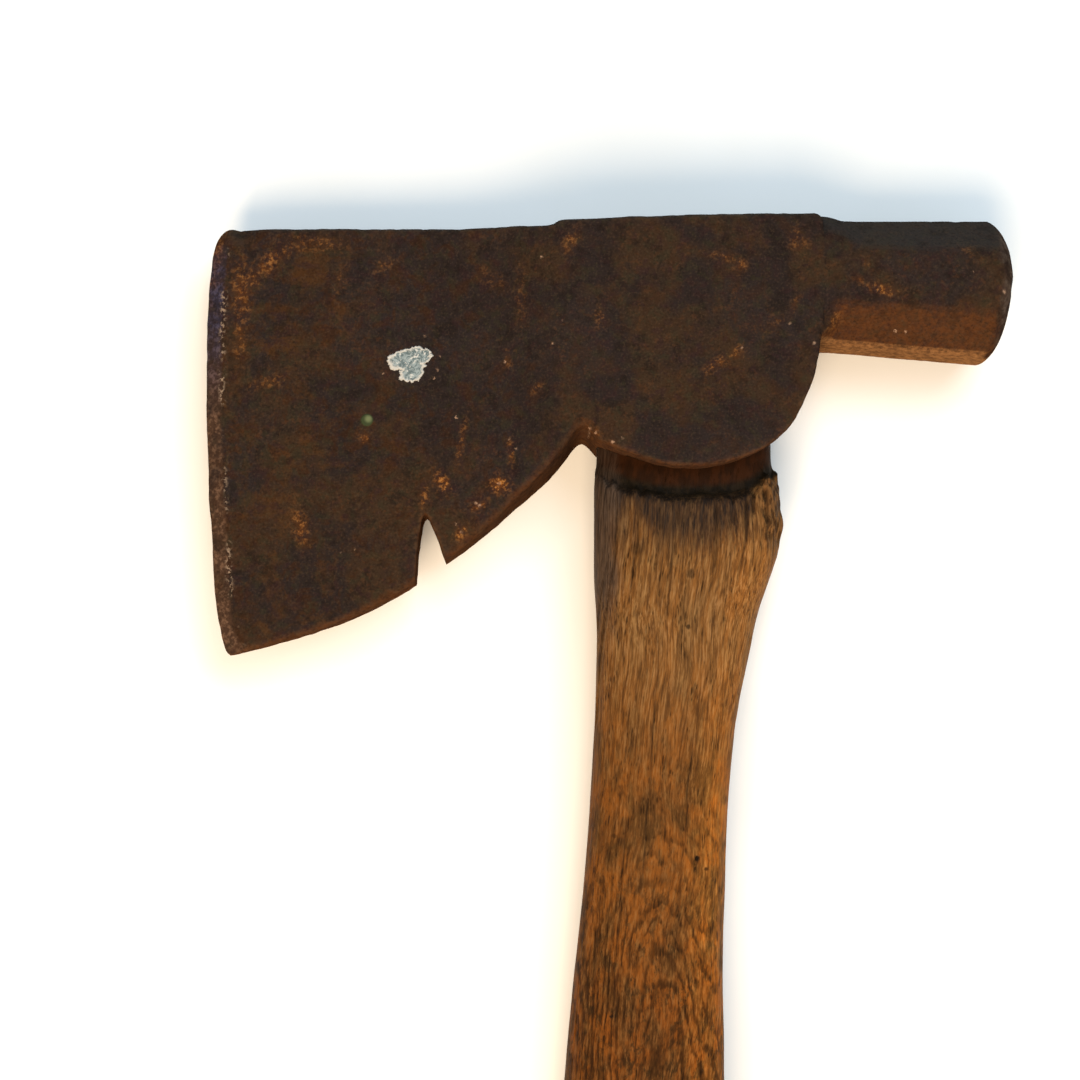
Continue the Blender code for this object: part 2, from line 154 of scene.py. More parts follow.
# X, Y, reach across and along, turn in degrees, strength: rust that stands out
BLOOMS = (
    (-91.4, 6.5, 1.6, 5.4, 4, 0.8), (-91.6, -3, 1.3, 4.6, 0, 0.5), (-84.8, 13.2, 1.7, 4.4, -48, 0.75),
    (-89, 9.5, 1.7, 2.4, -30, 0.6), (-77, 16.4, 1.6, 6.5, 88, 0.45), (5.2, -10.8, 0.9, 2.4, -58, 0.8),
    (9.3, -8.4, 1.3, 1.5, -62, 0.55), (10.3, 9.3, 1.1, 1.3, 0, 0.7), (7, 11, 0.8, 3, 70, 0.35),
    (38.5, 4.6, 1, 2.6, 75, 1), (34, 6.6, 0.7, 1.2, 40, 0.6), (35.5, 9.8, 0.6, 1, 0, 0.4),
    (-49.8, -33.6, 1.1, 1.9, 35, 1.6), (-38.3, -34.4, 1.7, 1.3, -20, 2), (-46, -25.5, 0.6, 4.4, -10, 0.6),
    (-36, -28, 0.6, 2.2, 5, 0.9), (-46, -43.8, 0.8, 1.5, -35, 1.3), (-42.4, -38.4, 0.8, 1.6, -60, 1.5),
    (22, 14.5, 1.6, 2.5, 0, 0.4), (-40, 8, 1.6, 3, 60, 0.25), (-62, 11.5, 1.2, 2.4, -55, 0.35),
    (17, -2.5, 1.3, 1.8, -40, 0.3), (-18, -1, 1.2, 2.2, 0, 0.3), (-78.6, -42.5, 1.4, 3.4, 12, 0.75),
    (-65.8, -24.2, 1.1, 0.9, 0, 1.1), (-36.5, -9, 0.5, 1.6, 10, 0.5), (-30.5, -15, 0.6, 2, -40, 0.4),
    (-24, 14.5, 1.4, 2.4, -30, 0.45), (-34, 4, 1.3, 5, 2, 0.22), (-20, -25, 2, 1.2, 10, 0.5),
    (-71, 8, 0.8, 3, -20, 0.3), (20.8, 1, 0.7, 2.5, -20, 0.35), (56, 13, 1.2, 2, 80, 0.25),
    (29.5, -1.5, 1.2, 3, -25, 0.7), (-86, -12.5, 1.2, 4, -78, 0.4), (-53.6, -36.4, 0.7, 2.4, -8, 0.8),
)
# X, Y, radius: small chips of bare metal, pale with a painted glint
CHIPS_AND_GLINTS = (
    (63.3, 4.2, 0.5), (41.9, -3, 0.32), (43.9, -3.1, 0.32), (25, -6.4, 0.42), (-45.9, -43.8, 0.42),
    (-47, -42, 0.36), (-42.2, -38.4, 0.4), (-43, -37.9, 0.34), (-20, -23.6, 0.4), (-18.9, -24.4, 0.35),
    (-15.6, -26.4, 0.4), (-13.6, -25.8, 0.34), (-37.2, -9.3, 0.34), (-47.1, -20.2, 0.3),
    (-34.9, -27.3, 0.36), (-36.2, -25.3, 0.26), (-67.6, -46.9, 0.3), (10.4, -7.4, 0.3), (20, -2.4, 0.3),
    (57, 8.2, 0.25), (-27.6, -6.4, 0.28), (-25.6, -1.8, 0.26), (-29.8, 11.5, 0.28), (-53.6, -3.4, 0.36),
    (-50.4, -7.6, 0.34), (-50.9, -10.4, 0.3), (-51.6, -12, 0.26), (-61.9, -11, 0.28), (-70.4, -47.6, 0.24),
    (-38.4, -34.2, 0.42),
)
GREEN_DOT = (-65.3, -20.5, 1.45)  # X, Y, radius
# X, Y, half sizes and turn in degrees of the lobes of a fleck of silvery paint, and how ragged it is
SILVER_LOBES = (
    (-56.9, -7.9, 4.5, 2.3, 14), (-56.2, -11, 2.7, 1.8, 18), (-56, -9.5, 2.5, 1.9, 0),
    (-53.6, -7.2, 1.7, 1.5, 60),
)
SILVER_RAG = 1.3
# X at the start, start Y, end Y, sway, depth, width: cracks and checks along the grain
CRACKS = (
    (-15, -34, -92, 0.6, 0.45, 0.28), (-16.4, -48, -128, 1, 0.3, 0.22), (-10.6, -36.5, -74, 0.5, 0.4, 0.25),
    (-3, -38, -66, 0.4, 0.35, 0.25), (5, -37, -58, 0.6, 0.4, 0.28), (11.5, -36, -54, -0.8, 0.5, 0.3),
    (-6.4, -70, -118, 0.6, 0.28, 0.22), (0.2, -84, -128, -0.5, 0.28, 0.22),
    (-13, -100, -152, 0.4, 0.3, 0.22), (-19, -120, -176, 0.7, 0.3, 0.25), (2.4, -128, -180, 0.5, 0.3, 0.22),
    (-9, -170, -240, 0.6, 0.35, 0.25), (15.6, -34.5, -43, -0.3, 0.9, 0.5), (12.8, -35.5, -41, 0.3, 0.6, 0.4),
    (8.6, -36.5, -43, 0.2, 0.5, 0.3),
)
HOLE = (0.94, -109, 0.7, 1.5)  # X, Y, radius and depth of a small hole
# X, Y, radius, strength: dark marks in the wood
WOOD_SPOTS = (
    (0.94, -109, 0.75, 1), (-16, -139.7, 0.55, 0.9), (-0.6, -63.3, 0.6, 0.8), (-0.1, -52.7, 1.3, 0.55),
    (-10.7, -47.6, 1.8, 0.45), (-14.2, -105.6, 1.1, 0.5), (-15.4, -104.6, 0.7, 0.5), (2.8, -111.1, 0.5, 0.8),
)


# ---- noise on arrays of points


def lattice(x, y, z, seed):
    """A repeatable number from 0 to 1 for each whole-number point."""
    n = (x * 374761393 + y * 668265263 + z * 1440662683 + seed * 1274126177) & 0xFFFFFFFF
    n = ((n ^ (n >> 13)) * 1274126177) & 0xFFFFFFFF
    n = ((n ^ (n >> 16)) * 668265263) & 0xFFFFFFFF
    return (n ^ (n >> 15)) / 0xFFFFFFFF


def noise(points, size, seed):
    """Smooth values from -1 to 1 with features of the given size (one number, or one for each axis)."""
    p = points / np.asarray(size, dtype=float)
    cell = np.floor(p).astype(np.int64)
    f = smooth_step(p - cell)
    total = np.zeros(len(points))
    for corner in range(8):
        step = (corner & 1, corner >> 1 & 1, corner >> 2 & 1)
        weight = np.ones(len(points))
        for axis in range(3):
            weight = weight * (f[:, axis] if step[axis] else 1 - f[:, axis])
        total += weight * lattice(*(cell[:, axis] + step[axis] for axis in range(3)), seed)
    return total * 2 - 1


def fractal(points, size, seed):
    """Two octaves of noise, still from -1 to 1."""
    size = np.asarray(size, dtype=float)
    return (noise(points, size, seed) + noise(points, size / 2, seed + 1) * 0.5) / 1.5


def pits(points, size, seed, share):
    """From 0 to 1: round dimples about size across, in that share of the cells."""
    p = points / size
    cell = np.floor(p).astype(np.int64)
    deepest = np.zeros(len(points))
    for step in np.ndindex(3, 3, 3):
        near = tuple((cell + step - 1).T)
        spot = xyz(*(near[a] + lattice(*near, seed + a) for a in range(3)))
        radius = 0.25 + 0.35 * lattice(*near, seed + 3)
        there = lattice(*near, seed + 4) < share
        away = np.linalg.norm(p - spot, axis=1) / radius
        deepest = np.maximum(deepest, there * np.clip(1 - away * away, 0, 1))
    return deepest


def rust_pits(points):
    """The wide and the small pits, from 0 to 1 each."""
    return pits(points, 2.3, 50, 0.5), pits(points, 1.2, 60, 0.45)


# ---- small geometry helpers


def smooth_step(value):
    t = np.clip(value, 0, 1)
    return t * t * (3 - 2 * t)


def rise(value, start, width):
    """0 up to start, then a smooth rise to 1 over width."""
    return smooth_step((value - start) / width)


def xyz(x, y, z):
    """Rows of X, Y and Z from arrays and single numbers."""
    return np.stack(np.broadcast_arrays(x, y, z), axis=1)


def soft_min(a, b, width):
    """The smaller of two arrays, with the corner between them rounded over width."""
    h = np.clip(0.5 + 0.5 * (b - a) / width, 0, 1)
    return b + (a - b) * h - width * h * (1 - h) / 2


def curve_through(points, spacing):
    """Evenly spaced points on a smooth curve through the control points, first and last included."""
    p = np.array(points, dtype=float)
    before, after = np.vstack([p[:1], p[:-1]]), np.vstack([p[1:], p[-1:]])
    ahead = np.vstack([p[2:], p[-1:], p[-1:]])
    t = np.linspace(0, 1, 24, endpoint=False)[None, :, None]
    a, b, c, d = (q[:-1, None, :] for q in (before, p, after, ahead))
    dense = b + 0.5 * t * (c - a + t * (2 * a - 5 * b + 4 * c - d + t * (3 * (b - c) + d - a)))
    dense = np.vstack([dense.reshape(-1, p.shape[1]), p[-1:]])
    along = np.concatenate([[0], np.cumsum(np.linalg.norm(np.diff(dense[:, :2], axis=0), axis=1))])
    count = max(2, int(round(along[-1] / spacing)) + 1)
    at = np.linspace(0, along[-1], count)
    return np.stack([np.interp(at, along, column) for column in dense.T], axis=1)


def sideways(steps):
    """Unit vectors at right angles to steps in the plane."""
    side = np.stack([steps[:, 1], -steps[:, 0]], axis=1)
    return side / np.linalg.norm(side, axis=1)[:, None]


def distance_to(points, line):
    """How far each point is from a polyline, in the plane."""
    start, end = line[:-1], line[1:]
    best = np.full(len(points), 1e9)
    run = end - start
    length2 = np.maximum((run**2).sum(axis=1), 1e-9)
    for lo in range(0, len(points), 4000):
        p = points[lo : lo + 4000, None, :] - start[None]
        t = np.clip((p * run).sum(axis=2) / length2, 0, 1)
        gap = p - t[..., None] * run
        best[lo : lo + 4000] = np.sqrt((gap**2).sum(axis=2).min(axis=1))
    return best


def inside(points, loop):
    """Whether each point is inside a closed loop."""
    result = np.zeros(len(points), dtype=bool)
    for (x0, y0), (x1, y1) in zip(loop, np.roll(loop, -1, axis=0)):
        crosses = (y0 > points[:, 1]) != (y1 > points[:, 1])
        if y1 != y0:
            result ^= crosses & (points[:, 0] < x0 + (points[:, 1] - y0) * (x1 - x0) / (y1 - y0))
    return result


def turns(sides):
    """The angles of a ring's points."""
    return np.arange(sides) * math.tau / sides


def superellipse(angles, half_x, half_z, squareness):
    c, s = np.cos(angles), np.sin(angles)
    power = 2 / squareness
    return np.sign(c) * np.abs(c) ** power * half_x, np.sign(s) * np.abs(s) ** power * half_z


def make_object(name, vertices, faces, smooth=True):
    """A mesh object from millimetre coordinates."""
    mesh = bpy.data.meshes.new(name)
    mesh.from_pydata((np.asarray(vertices) * MM).tolist(), [], faces)
    edited = bmesh.new()
    edited.from_mesh(mesh)
    bmesh.ops.recalc_face_normals(edited, faces=edited.faces)
    edited.to_mesh(mesh)
    edited.free()
    if smooth:
        mesh.shade_smooth()
    made = bpy.data.objects.new(name, mesh)
    bpy.context.scene.collection.objects.link(made)
    return made


def ring_faces(rows, sides):
    """Quads between closed rows of points that lie one after another."""
    i = np.arange(sides)
    j = (i + 1) % sides
    starts = np.arange(rows - 1) * sides
    quads = [np.stack([low + i, low + j, low + sides + j, low + sides + i], axis=1) for low in starts]
    return np.vstack(quads).tolist()


def lofted(name, rings, tip, closing=0):
    """A closed body through rings of points, flat at the first and drawn to a tip after the last.

    That many more rings close in on the tip from the last one.
    """
    sides = len(rings[0])
    last = rings[-1]
    rings = rings + [last + (tip - last) * share for share in np.linspace(0, 1, closing + 2)[1:-1]]
    vertices = np.vstack([*rings, [tip]])
    end = len(vertices) - 1
    faces = ring_faces(len(rings), sides)
    faces += [(end - sides + i, end - sides + (i + 1) % sides, end) for i in range(sides)]
    faces.append(list(range(sides)))
    return make_object(name, vertices, faces), vertices


def vertices_of(obj):
    """The object's vertices as an array, in millimetres."""
    flat = np.empty(len(obj.data.vertices) * 3)
    obj.data.vertices.foreach_get("co", flat)
    return flat.reshape(-1, 3) / MM


def normals_of(obj):
    flat = np.empty(len(obj.data.vertices) * 3)
    obj.data.vertices.foreach_get("normal", flat)
    return flat.reshape(-1, 3)


def move_vertices(obj, vertices):
    obj.data.vertices.foreach_set("co", (vertices * MM).ravel())
    obj.data.update()


def push_out(obj, vertices, distance):
    """Moves each vertex from its given place along its normal."""
    move_vertices(obj, vertices + normals_of(obj) * distance[:, None])


def apply_booleans(obj, steps):
    """Cuts or adds each (operation, other) in turn, keeps the result and removes the others."""
    for operation, other in steps:
        modifier = obj.modifiers.new(operation, "BOOLEAN")
        modifier.operation = operation
        modifier.solver = "EXACT"
        modifier.object = other
    graph = bpy.context.evaluated_depsgraph_get()
    mesh = bpy.data.meshes.new_from_object(obj.evaluated_get(graph))
    obj.modifiers.clear()
    obj.data = mesh
    for _, other in steps:
        bpy.data.objects.remove(other, do_unlink=True)


def join(target, other):
    """Adds another object's mesh to the target's, as a body of its own inside it."""
    edited = bmesh.new()
    edited.from_mesh(target.data)
    edited.from_mesh(other.data)
    edited.to_mesh(target.data)
    edited.free()
    bpy.data.objects.remove(other, do_unlink=True)


def paint(obj, masks):
    """Stores one number for each vertex under each name, for the material to read."""
    for name, values in masks.items():
        layer = obj.data.attributes.new(name, "FLOAT", "POINT")
        layer.data.foreach_set("value", np.asarray(values, dtype=np.float32))


def dress(obj, material):
    obj.data.materials.clear()
    obj.data.materials.append(material)
    return obj


# ---- head


def head_runs(spacing):
    """The outline's smooth runs, with the small unevenness of a forged and worn edge."""
    runs = []
    for seed, control in enumerate(OUTLINE):
        line = curve_through(control, spacing)
        flat = xyz(*line.T, 0)
        wobble = 0.14 * noise(flat, 6, seed) + 0.07 * noise(flat, 1.7, seed + 20)
        from_start = np.arange(len(line))
        fade = np.minimum(1, np.minimum(from_start, from_start[::-1]) / 4)
        runs.append(line + sideways(np.gradient(line, axis=0)) * (wobble * fade)[:, None])
    return runs


def half_thickness(points, cutting_edge, rims):
    """The head's half thickness over the side view, without its poll."""
    dense = curve_through(BLADE_SECTION, 0.5)
    h = np.interp(points[:, 0], dense[:, 0], dense[:, 1])
    to_edge = distance_to(points, cutting_edge)
    h = soft_min(h, EDGE_HALF + BEVEL_SLOPE * to_edge, 0.12)
    fall = np.zeros(len(points))
    for rim, radius in zip(rims, RIM_RADII):
        radius = np.minimum(radius, 0.4 * h)
        t = np.clip(1 - distance_to(points, rim) / radius, 0, 1)
        fall = np.maximum(fall, radius * (1 - np.sqrt(1 - t * t * 0.999)))
    return h - fall


def draw_in(p):
    """The round lobe under the eye is a little smaller towards the lower side."""
    x, y, z = p.T
    away = np.hypot(x, y)
    lower = np.clip((z.max() - z) / (2 * MID_Z), 0, 1)
    back = rise(x, 2, 14) * rise(-y, -2, 12)
    pull = LOBE_DRAFT * lower * rise(away, 20, 8) * back
    moved = p.copy()
    moved[:, :2] -= p[:, :2] * (pull / np.maximum(away, 1))[:, None]
    return moved


def steel_relief(p):
    """How far the steel stands out or in at each point: forging waves, scale and rust pits."""
    waves = 0.1 * noise(p, 17, 40) + 0.055 * noise(p, 6, 41)
    scale = 0.035 * fractal(p, 1.9, 43)
    patches = smooth_step(fractal(p, 11, 47) * 1.6 + 0.45)
    wide, small = rust_pits(p)
    return waves + scale - (0.17 * wide + 0.1 * small) * (0.25 + 0.75 * patches)


def side_view_grid(loop, spacing):
    """Points inside the outline: rings close along it, and a slightly uneven grid of triangles."""
    closed = np.vstack([loop, loop[:1]])
    side = sideways(np.roll(loop, -1, axis=0) - np.roll(loop, 1, axis=0))
    if not inside(loop[5:6] + side[5:6] * 0.2, loop)[0]:
        side = -side
    rings = []
    for depth in (0.12, 0.35, 0.75, 1.25):
        ring = loop + side * depth
        rings.append(ring[inside(ring, loop) & (distance_to(ring, closed) > depth * 0.93)])
    low, high = loop.min(axis=0), loop.max(axis=0)
    rows = []
    for k, y in enumerate(np.arange(low[1], high[1], spacing * math.sqrt(3) / 2)):
        x = np.arange(low[0] + spacing * 0.5 * (k % 2), high[0], spacing)
        rows.append(xyz(x, y, 0))
    flat = np.vstack(rows)
    grid = flat[:, :2] + 0.13 * spacing * np.column_stack([noise(flat, 0.7, 1), noise(flat, 0.7, 2)])
    grid = grid[inside(grid, loop)]
    grid = grid[distance_to(grid, closed) > 1.05 * spacing + 0.6]
    return np.vstack([*rings, grid])


def blade_and_cheeks(spacing):
    """The blade and the cheeks: two mirrored faces over the side view, and the wall between them."""
    runs = head_runs(spacing)
    loop = np.vstack([run[:-1] for run in runs])
    cutting_edge, other_edges = runs[0], np.vstack(runs[1:])
    count = len(loop)
    points = np.vstack([loop, side_view_grid(loop, spacing)])
    edges = [(i, (i + 1) % count) for i in range(count)]
    made = delaunay_2d_cdt([Vector(p) for p in points], edges, [], 1, 1e-6)
    plan, triangles = np.array([tuple(v) for v in made[0]]), np.array(made[2])
    if len(plan) != len(points):
        raise ValueError("the side view's points don't all survive triangulation")
    h = half_thickness(plan, cutting_edge, runs[1:])
    n = len(plan)
    wall_rows = 14
    share = np.cos(np.linspace(0, math.pi, wall_rows + 2))[1:-1]
    share = np.sign(share) * np.abs(share) ** 0.8
    wall = [xyz(*loop.T, MID_Z + h[:count] * s) for s in share]
    vertices = draw_in(np.vstack([xyz(*plan.T, MID_Z + h), xyz(*plan.T, MID_Z - h), *wall]))
    faces = triangles.tolist() + (triangles[:, ::-1] + n).tolist()
    i = np.arange(count)
    j = (i + 1) % count
    starts = [0] + [2 * n + k * count for k in range(wall_rows)] + [n]
    for above, below in zip(starts, starts[1:]):
        faces += np.stack([above + i, below + i, below + j, above + j], axis=1).tolist()
    body = make_object("head_worn", vertices, faces)
    strength = np.clip((np.abs(vertices[:, 2] - MID_Z) + 0.4) / 3, 0.12, 1)
    wall_strength = np.clip(distance_to(vertices[:, :2], cutting_edge) / 4, 0.1, 1)
    strength[2 * n :] = wall_strength[2 * n :]
    push_out(body, vertices, steel_relief(vertices) * strength)
    return body, cutting_edge, other_edges


def poll_face_x(y, rho):
    """Where the crowned and slightly battered hammer face lies, in X, at a distance from its axis."""
    lean = 0.12 * np.clip(8 - y, 0, None) + 0.04 * np.clip(y - 13.5, 0, None)
    turn = np.clip((rho - POLL_LAND) / POLL_RIM_WIDTH, 0, 0.999)
    crown = rho**2 / (2 * POLL_CROWN_RADIUS) + POLL_RIM_DEPTH * (1 - np.sqrt(1 - turn**2))
    return POLL_FACE_X - crown - lean


def poll(sides, spacing):
    """The octagonal hammer: flared, with softened corners, a blended root and a crowned face."""
    angles = turns(sides)
    turned = (angles + FLAT_TURN / 2) % FLAT_TURN - FLAT_TURN / 2
    octagon = 1 / np.cos(turned)
    octagon = octagon - 0.028 * np.exp(-((np.abs(turned) - FLAT_TURN / 2) ** 2) / 0.0035)
    square_turn = (angles + FLAT_TURN) % (2 * FLAT_TURN) - FLAT_TURN
    up = np.cos(angles)
    square = np.minimum(1 / np.cos(square_turn), np.where(up > 0, *POLL_CORNERS))

    def ring(x, scale=1):
        height = np.interp(x, *zip(POLL_ROOT, POLL_WIDE))
        middle = POLL_TOP_Y - height / 2
        upper_root = rise(-x, -36, 9) * rise(up, -0.3, 0.55)
        lower_root = rise(-x, -31, 5) * smooth_step(0.3 - up)
        radius = octagon + (square - octagon) * np.maximum(upper_root, lower_root)
        y = middle + radius * up * height / 2 * scale
        z = MID_Z + radius * np.sin(angles) * POLL_HALF * scale
        return y, z, np.hypot(y - middle, z - MID_Z)

    y, _, rho = ring(POLL_WIDE[0])
    rim_x = poll_face_x(y, rho)
    rings = []
    for share in np.linspace(0, 1, int((POLL_WIDE[0] - POLL_START_X) / spacing)):
        x = POLL_START_X + (rim_x - POLL_START_X) * share
        rings.append(xyz(x, *ring(x)[:2]))
    face_steps = 26
    for k in range(1, face_steps):
        y, z, rho = ring(POLL_WIDE[0], 1 - (k / face_steps) ** 1.15)
        rings.append(xyz(poll_face_x(y, rho), y, z))
    made, vertices = lofted("poll_part", rings, (POLL_FACE_X, POLL_TOP_Y - POLL_WIDE[1] / 2, MID_Z))
    dents = rise(vertices[:, 0], 62, 3) * 0.16 * pits(vertices, 3.4, 80, 0.5)
    push_out(made, vertices, steel_relief(vertices) - dents)
    return made


def eye_ring(angles, y, inset=0, drop=0):
    """A ring of the eye's section at a height, drawn in, and lowered."""
    share = (y - EYE_BOTTOM_Y) / (EYE_TOP_Y - EYE_BOTTOM_Y)
    half_x, half_z = (a + (b - a) * share - inset for a, b in zip(EYE_BOTTOM_HALF, EYE_TOP_HALF))
    x, z = superellipse(angles, half_x, half_z, EYE_SQUARENESS)
    return xyz(EYE_X + x, y - drop, MID_Z + z)


def eye_cutter(sides=96):
    angles = turns(sides)
    rings = [eye_ring(angles, y) for y in (EYE_BOTTOM_Y - 12, EYE_TOP_Y + 12)]
    faces = ring_faces(2, sides) + [list(range(sides)), list(range(sides, 2 * sides))]
    return make_object("eye_cut", np.vstack(rings), faces, smooth=False)


def head_masks(head, cutting_edge, other_edges):
    """Paints where rust blooms, edges are worn and take a painted highlight, pits lie and the steel was
    ground, and painted light and shade on faces turned down and up.
    """
    p = vertices_of(head)
    x, y, z = p.T
    face_x, face_y, _ = normals_of(head).T
    bloom = np.zeros(len(p))
    for at_x, at_y, across, along, turn, strength in BLOOMS:
        c, s = math.cos(math.radians(turn)), math.sin(math.radians(turn))
        dx, dy = x - at_x, y - at_y
        u, v = (c * dx + s * dy) / across, (-s * dx + c * dy) / along
        bloom = np.maximum(bloom, strength * np.exp(-(u * u + v * v)))
    upper = rise(z, MID_Z, 2)
    coarse = (noise(p, 14, 70) + noise(p, 7, 71) * 0.5 + noise(p, 3.5, 72) * 0.25) / 1.75
    bloom = bloom * upper + smooth_step(coarse * 2.2 - 0.35) * 0.8 * (1 - upper)
    to_cutting = distance_to(p[:, :2], cutting_edge)
    at_root = rise(x, 24.6, 1.2) * rise(y, -8.5, 1.5)
    to_rim = distance_to(p[:, :2], other_edges) + 20 * at_root
    below_corner = rise(-y, -BEVEL_TOP_Y, 4)
    wide, small = rust_pits(p)
    root_x = 25.8 + 0.037 * np.clip(y + 6.5, 0, 12) ** 2  # the cheek's lower back corner runs out along this
    hammer = smooth_step((x - root_x) / 1.2 + 0.3)
    # how strongly painted light goes on the faces turned down, as if lit from below
    lit_low_side = 0.75 + 0.25 * hammer - 0.6 * (1 - hammer) * smooth_step(x - 25)
    in_notch = rise(x, NOTCH_MOUTH_X[0], 0.8) * rise(-x, -NOTCH_MOUTH_X[1], 0.8) * (y < NOTCH_TOP_Y)
    turned_down = np.maximum(-face_y, in_notch * np.abs(face_x))
    paint(head, {
        "bloom": np.clip(bloom, 0, 2),
        "bevel": rise(-to_cutting, -BEVEL_WIDTH, 0.6) * below_corner,
        "bevel_line": np.exp(-(((to_cutting - BEVEL_WIDTH + 0.1) / 0.5) ** 2)) * below_corner,
        # a painted highlight along the rims
        "rim": np.exp(-((to_rim / 0.8) ** 2)),
        "pit": np.clip(wide + 0.6 * small, 0, 1),
        # painted light on the faces turned down
        "lit_low_side": smooth_step(turned_down * 1.6 - 0.3) * lit_low_side,
        # a painted glow of light on the hammer's underside
        "hammer_low_glow": rise(-face_y, 0.8, 0.12) * hammer,
        # painted shade on the faces turned up
        "shaded_top_side": smooth_step(face_y * 1.6 - 0.3),
        "beaten": rise(x, 61.5, 2.5) * smooth_step(face_x * 3 - 0.6),
    })


def smooth_root(head):
    """Smooths away the crease where the hammer grows out of the cheeks."""
    mesh = bmesh.new()
    mesh.from_mesh(head.data)
    band = []
    for vertex in mesh.verts:
        x, y, z = vertex.co / MM
        if ROOT_X[0] < x < ROOT_X[1] and abs(z - MID_Z) > 9.5 and y < 18.5:
            band.append(vertex)
    for _ in range(25):
        bmesh.ops.smooth_vert(mesh, verts=band, factor=0.5, use_axis_z=True)
    mesh.to_mesh(head.data)
    mesh.free()


def build_head():
    spacing = 0.62
    head, cutting_edge, other_edges = blade_and_cheeks(spacing)
    hammer = poll(208, spacing)
    apply_booleans(head, [("UNION", hammer), ("DIFFERENCE", eye_cutter())])
    head.data.shade_smooth()
    smooth_root(head)
    head_masks(head, cutting_edge, other_edges)
    return dress(head, rusty_steel())


# ---- handle


def stations_at(ys):
    """The handle's section at each height: front X, back X, half thickness, squareness."""
    table = curve_through([(row[0], 0, *row[1:]) for row in HANDLE_STATIONS], 0.25)
    table = table[np.argsort(table[:, 0])].T
    return [np.interp(ys, table[0], column) for column in table[2:]]


def handle_rows():
    """Heights of the rings from inside the eye to the foot, close together round the shoulder."""
    coarse, fine = ((1.25, 0.3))
    starts = (-24, -28, -37, -47, HANDLE_END_Y)
    steps = (1, fine, 1.7 * fine, coarse)
    stretches = [np.arange(a, b, -step) for a, b, step in zip(starts, starts[1:], steps)]
    return np.concatenate([*stretches, [HANDLE_END_Y]])


def wood_relief(p):
    """How far the wood stands out or in at each point."""
    dents = 0.22 * noise(p, (9, 16, 9), 90) + 0.09 * noise(p, (3.5, 9, 3.5), 91)
    ridges = 0.07 * fractal(p, (0.9, 16, 0.9), 92)
    open_pores = np.clip(noise(p, (0.55, 5.5, 0.55), 95) - 0.42, 0, 1) * 0.38
    return dents + ridges - open_pores


def middle_x(y):
    """Where the middle of the handle's back and front lies, in X, at that height."""
    front, back, _, _ = stations_at(y)
    return (front + back) / 2


def cracks(p):
    """How deep the long cracks are at each point, and how dark, from 0 to 1."""
    x, y, z = p.T
    depth, dark = np.zeros(len(p)), np.zeros(len(p))
    for k, (at_x, start, end, sway, deep, wide) in enumerate(CRACKS):
        share = (y - start) / (end - start)
        there = smooth_step(share * 8) * smooth_step((1 - share) * 5)
        line = xyz(k * 9.7, y, 0)
        centre = at_x + middle_x(y) - middle_x(start) + sway * share + 0.25 * noise(line, (1, 5, 1), 101)
        width = wide * (0.75 + 0.5 * noise(line, (1, 3, 1), 102))
        cut = np.exp(-(((x - centre) / np.maximum(width, 0.08)) ** 2)) * there * (z > MID_Z + 3)
        depth = np.maximum(depth, deep * cut)
        dark = np.maximum(dark, cut)
    return depth, dark


def torn_corner(p):
    """1 at the splintered corner of the shoulder behind the lobe, 0 elsewhere."""
    x, y, _ = p.T
    return rise(x, TORN_X, 2.5) * rise(y, TORN_Y[0], 6) * rise(-y, -TORN_Y[1], 1.5)


def hole_reach(p):
    """Each point's distance from the small hole's axis, in radii."""
    return np.hypot(p[:, 0] - HOLE[0], p[:, 1] - HOLE[1]) / HOLE[2]


def handle_ring(angles, y):
    """A ring of the neck or grip, with the shoulder's line bowed round the cheeks and worn ragged."""
    ragged = 0
    near = math.exp(-(((y - SHOULDER_Y) / 2.4) ** 2))
    if near > 0.02:
        spots = xyz(np.cos(angles) * 19, 0, np.sin(angles) * 12)
        ragged = near * (0.65 * noise(spots, 1.3, 110) + 0.8 * noise(spots, 4, 111))
        ragged = ragged * (1 + 1.3 * rise(np.cos(angles), 0.45, 0.3))
    bow = np.abs(np.sin(angles)) ** SHOULDER_BOW_POWER
    shift = -SHOULDER_BOW * bow * rise(-y, 22, 10) * rise(y, -80, 45)
    front, back, half_z, squareness = stations_at(np.clip(y + ragged, HANDLE_END_Y, HANDLE_TOP_Y))
    x, z = superellipse(angles, 1, 1, squareness)
    x = x * (back - front) / 2
    tilt = FOOT_TILT * rise(-y, 225, 70)
    return xyz((front + back) / 2 + x, y + shift + x * tilt, MID_Z + z * half_z)


def handle_body(sides):
    """The neck, the grip and the foot as one loft."""
    angles = turns(sides)
    rings = [handle_ring(angles, y) for y in handle_rows()]
    front, back, half_z, squareness = stations_at(HANDLE_END_Y)
    for angle in (12, 24, 36, 48, 60, 70, 80, 90):
        inset = FOOT_ROUNDING * (1 - math.cos(math.radians(angle)))
        drop = FOOT_ROUNDING * math.sin(math.radians(angle))
        x, z = superellipse(angles, (back - front) / 2 - inset, half_z - inset, squareness)
        rings.append(xyz((front + back) / 2 + x, HANDLE_END_Y - drop + x * FOOT_TILT, MID_Z + z))
    body, vertices = lofted("handle_worn", rings, rings[-1].mean(axis=0), 10)
    _, y, z = vertices.T
    hole = HOLE[3] * np.clip(1 - hole_reach(vertices) ** 2, 0, 1) * (z > MID_Z)
    out = wood_relief(vertices) - cracks(vertices)[0] - hole
    splinters = noise(vertices, (0.9, 2, 0.9), 112) + 0.6 * noise(vertices, (2.4, 3, 2.4), 113) - 0.4
    out += TORN_DEPTH * torn_corner(vertices) * splinters
    out = out * (1 - 0.6 * rise(-y, 312, 5))
    neck = rise(y, -31, 2)
    push_out(body, vertices, out * (1 - 0.75 * neck) - 0.12 * neck)
    return body


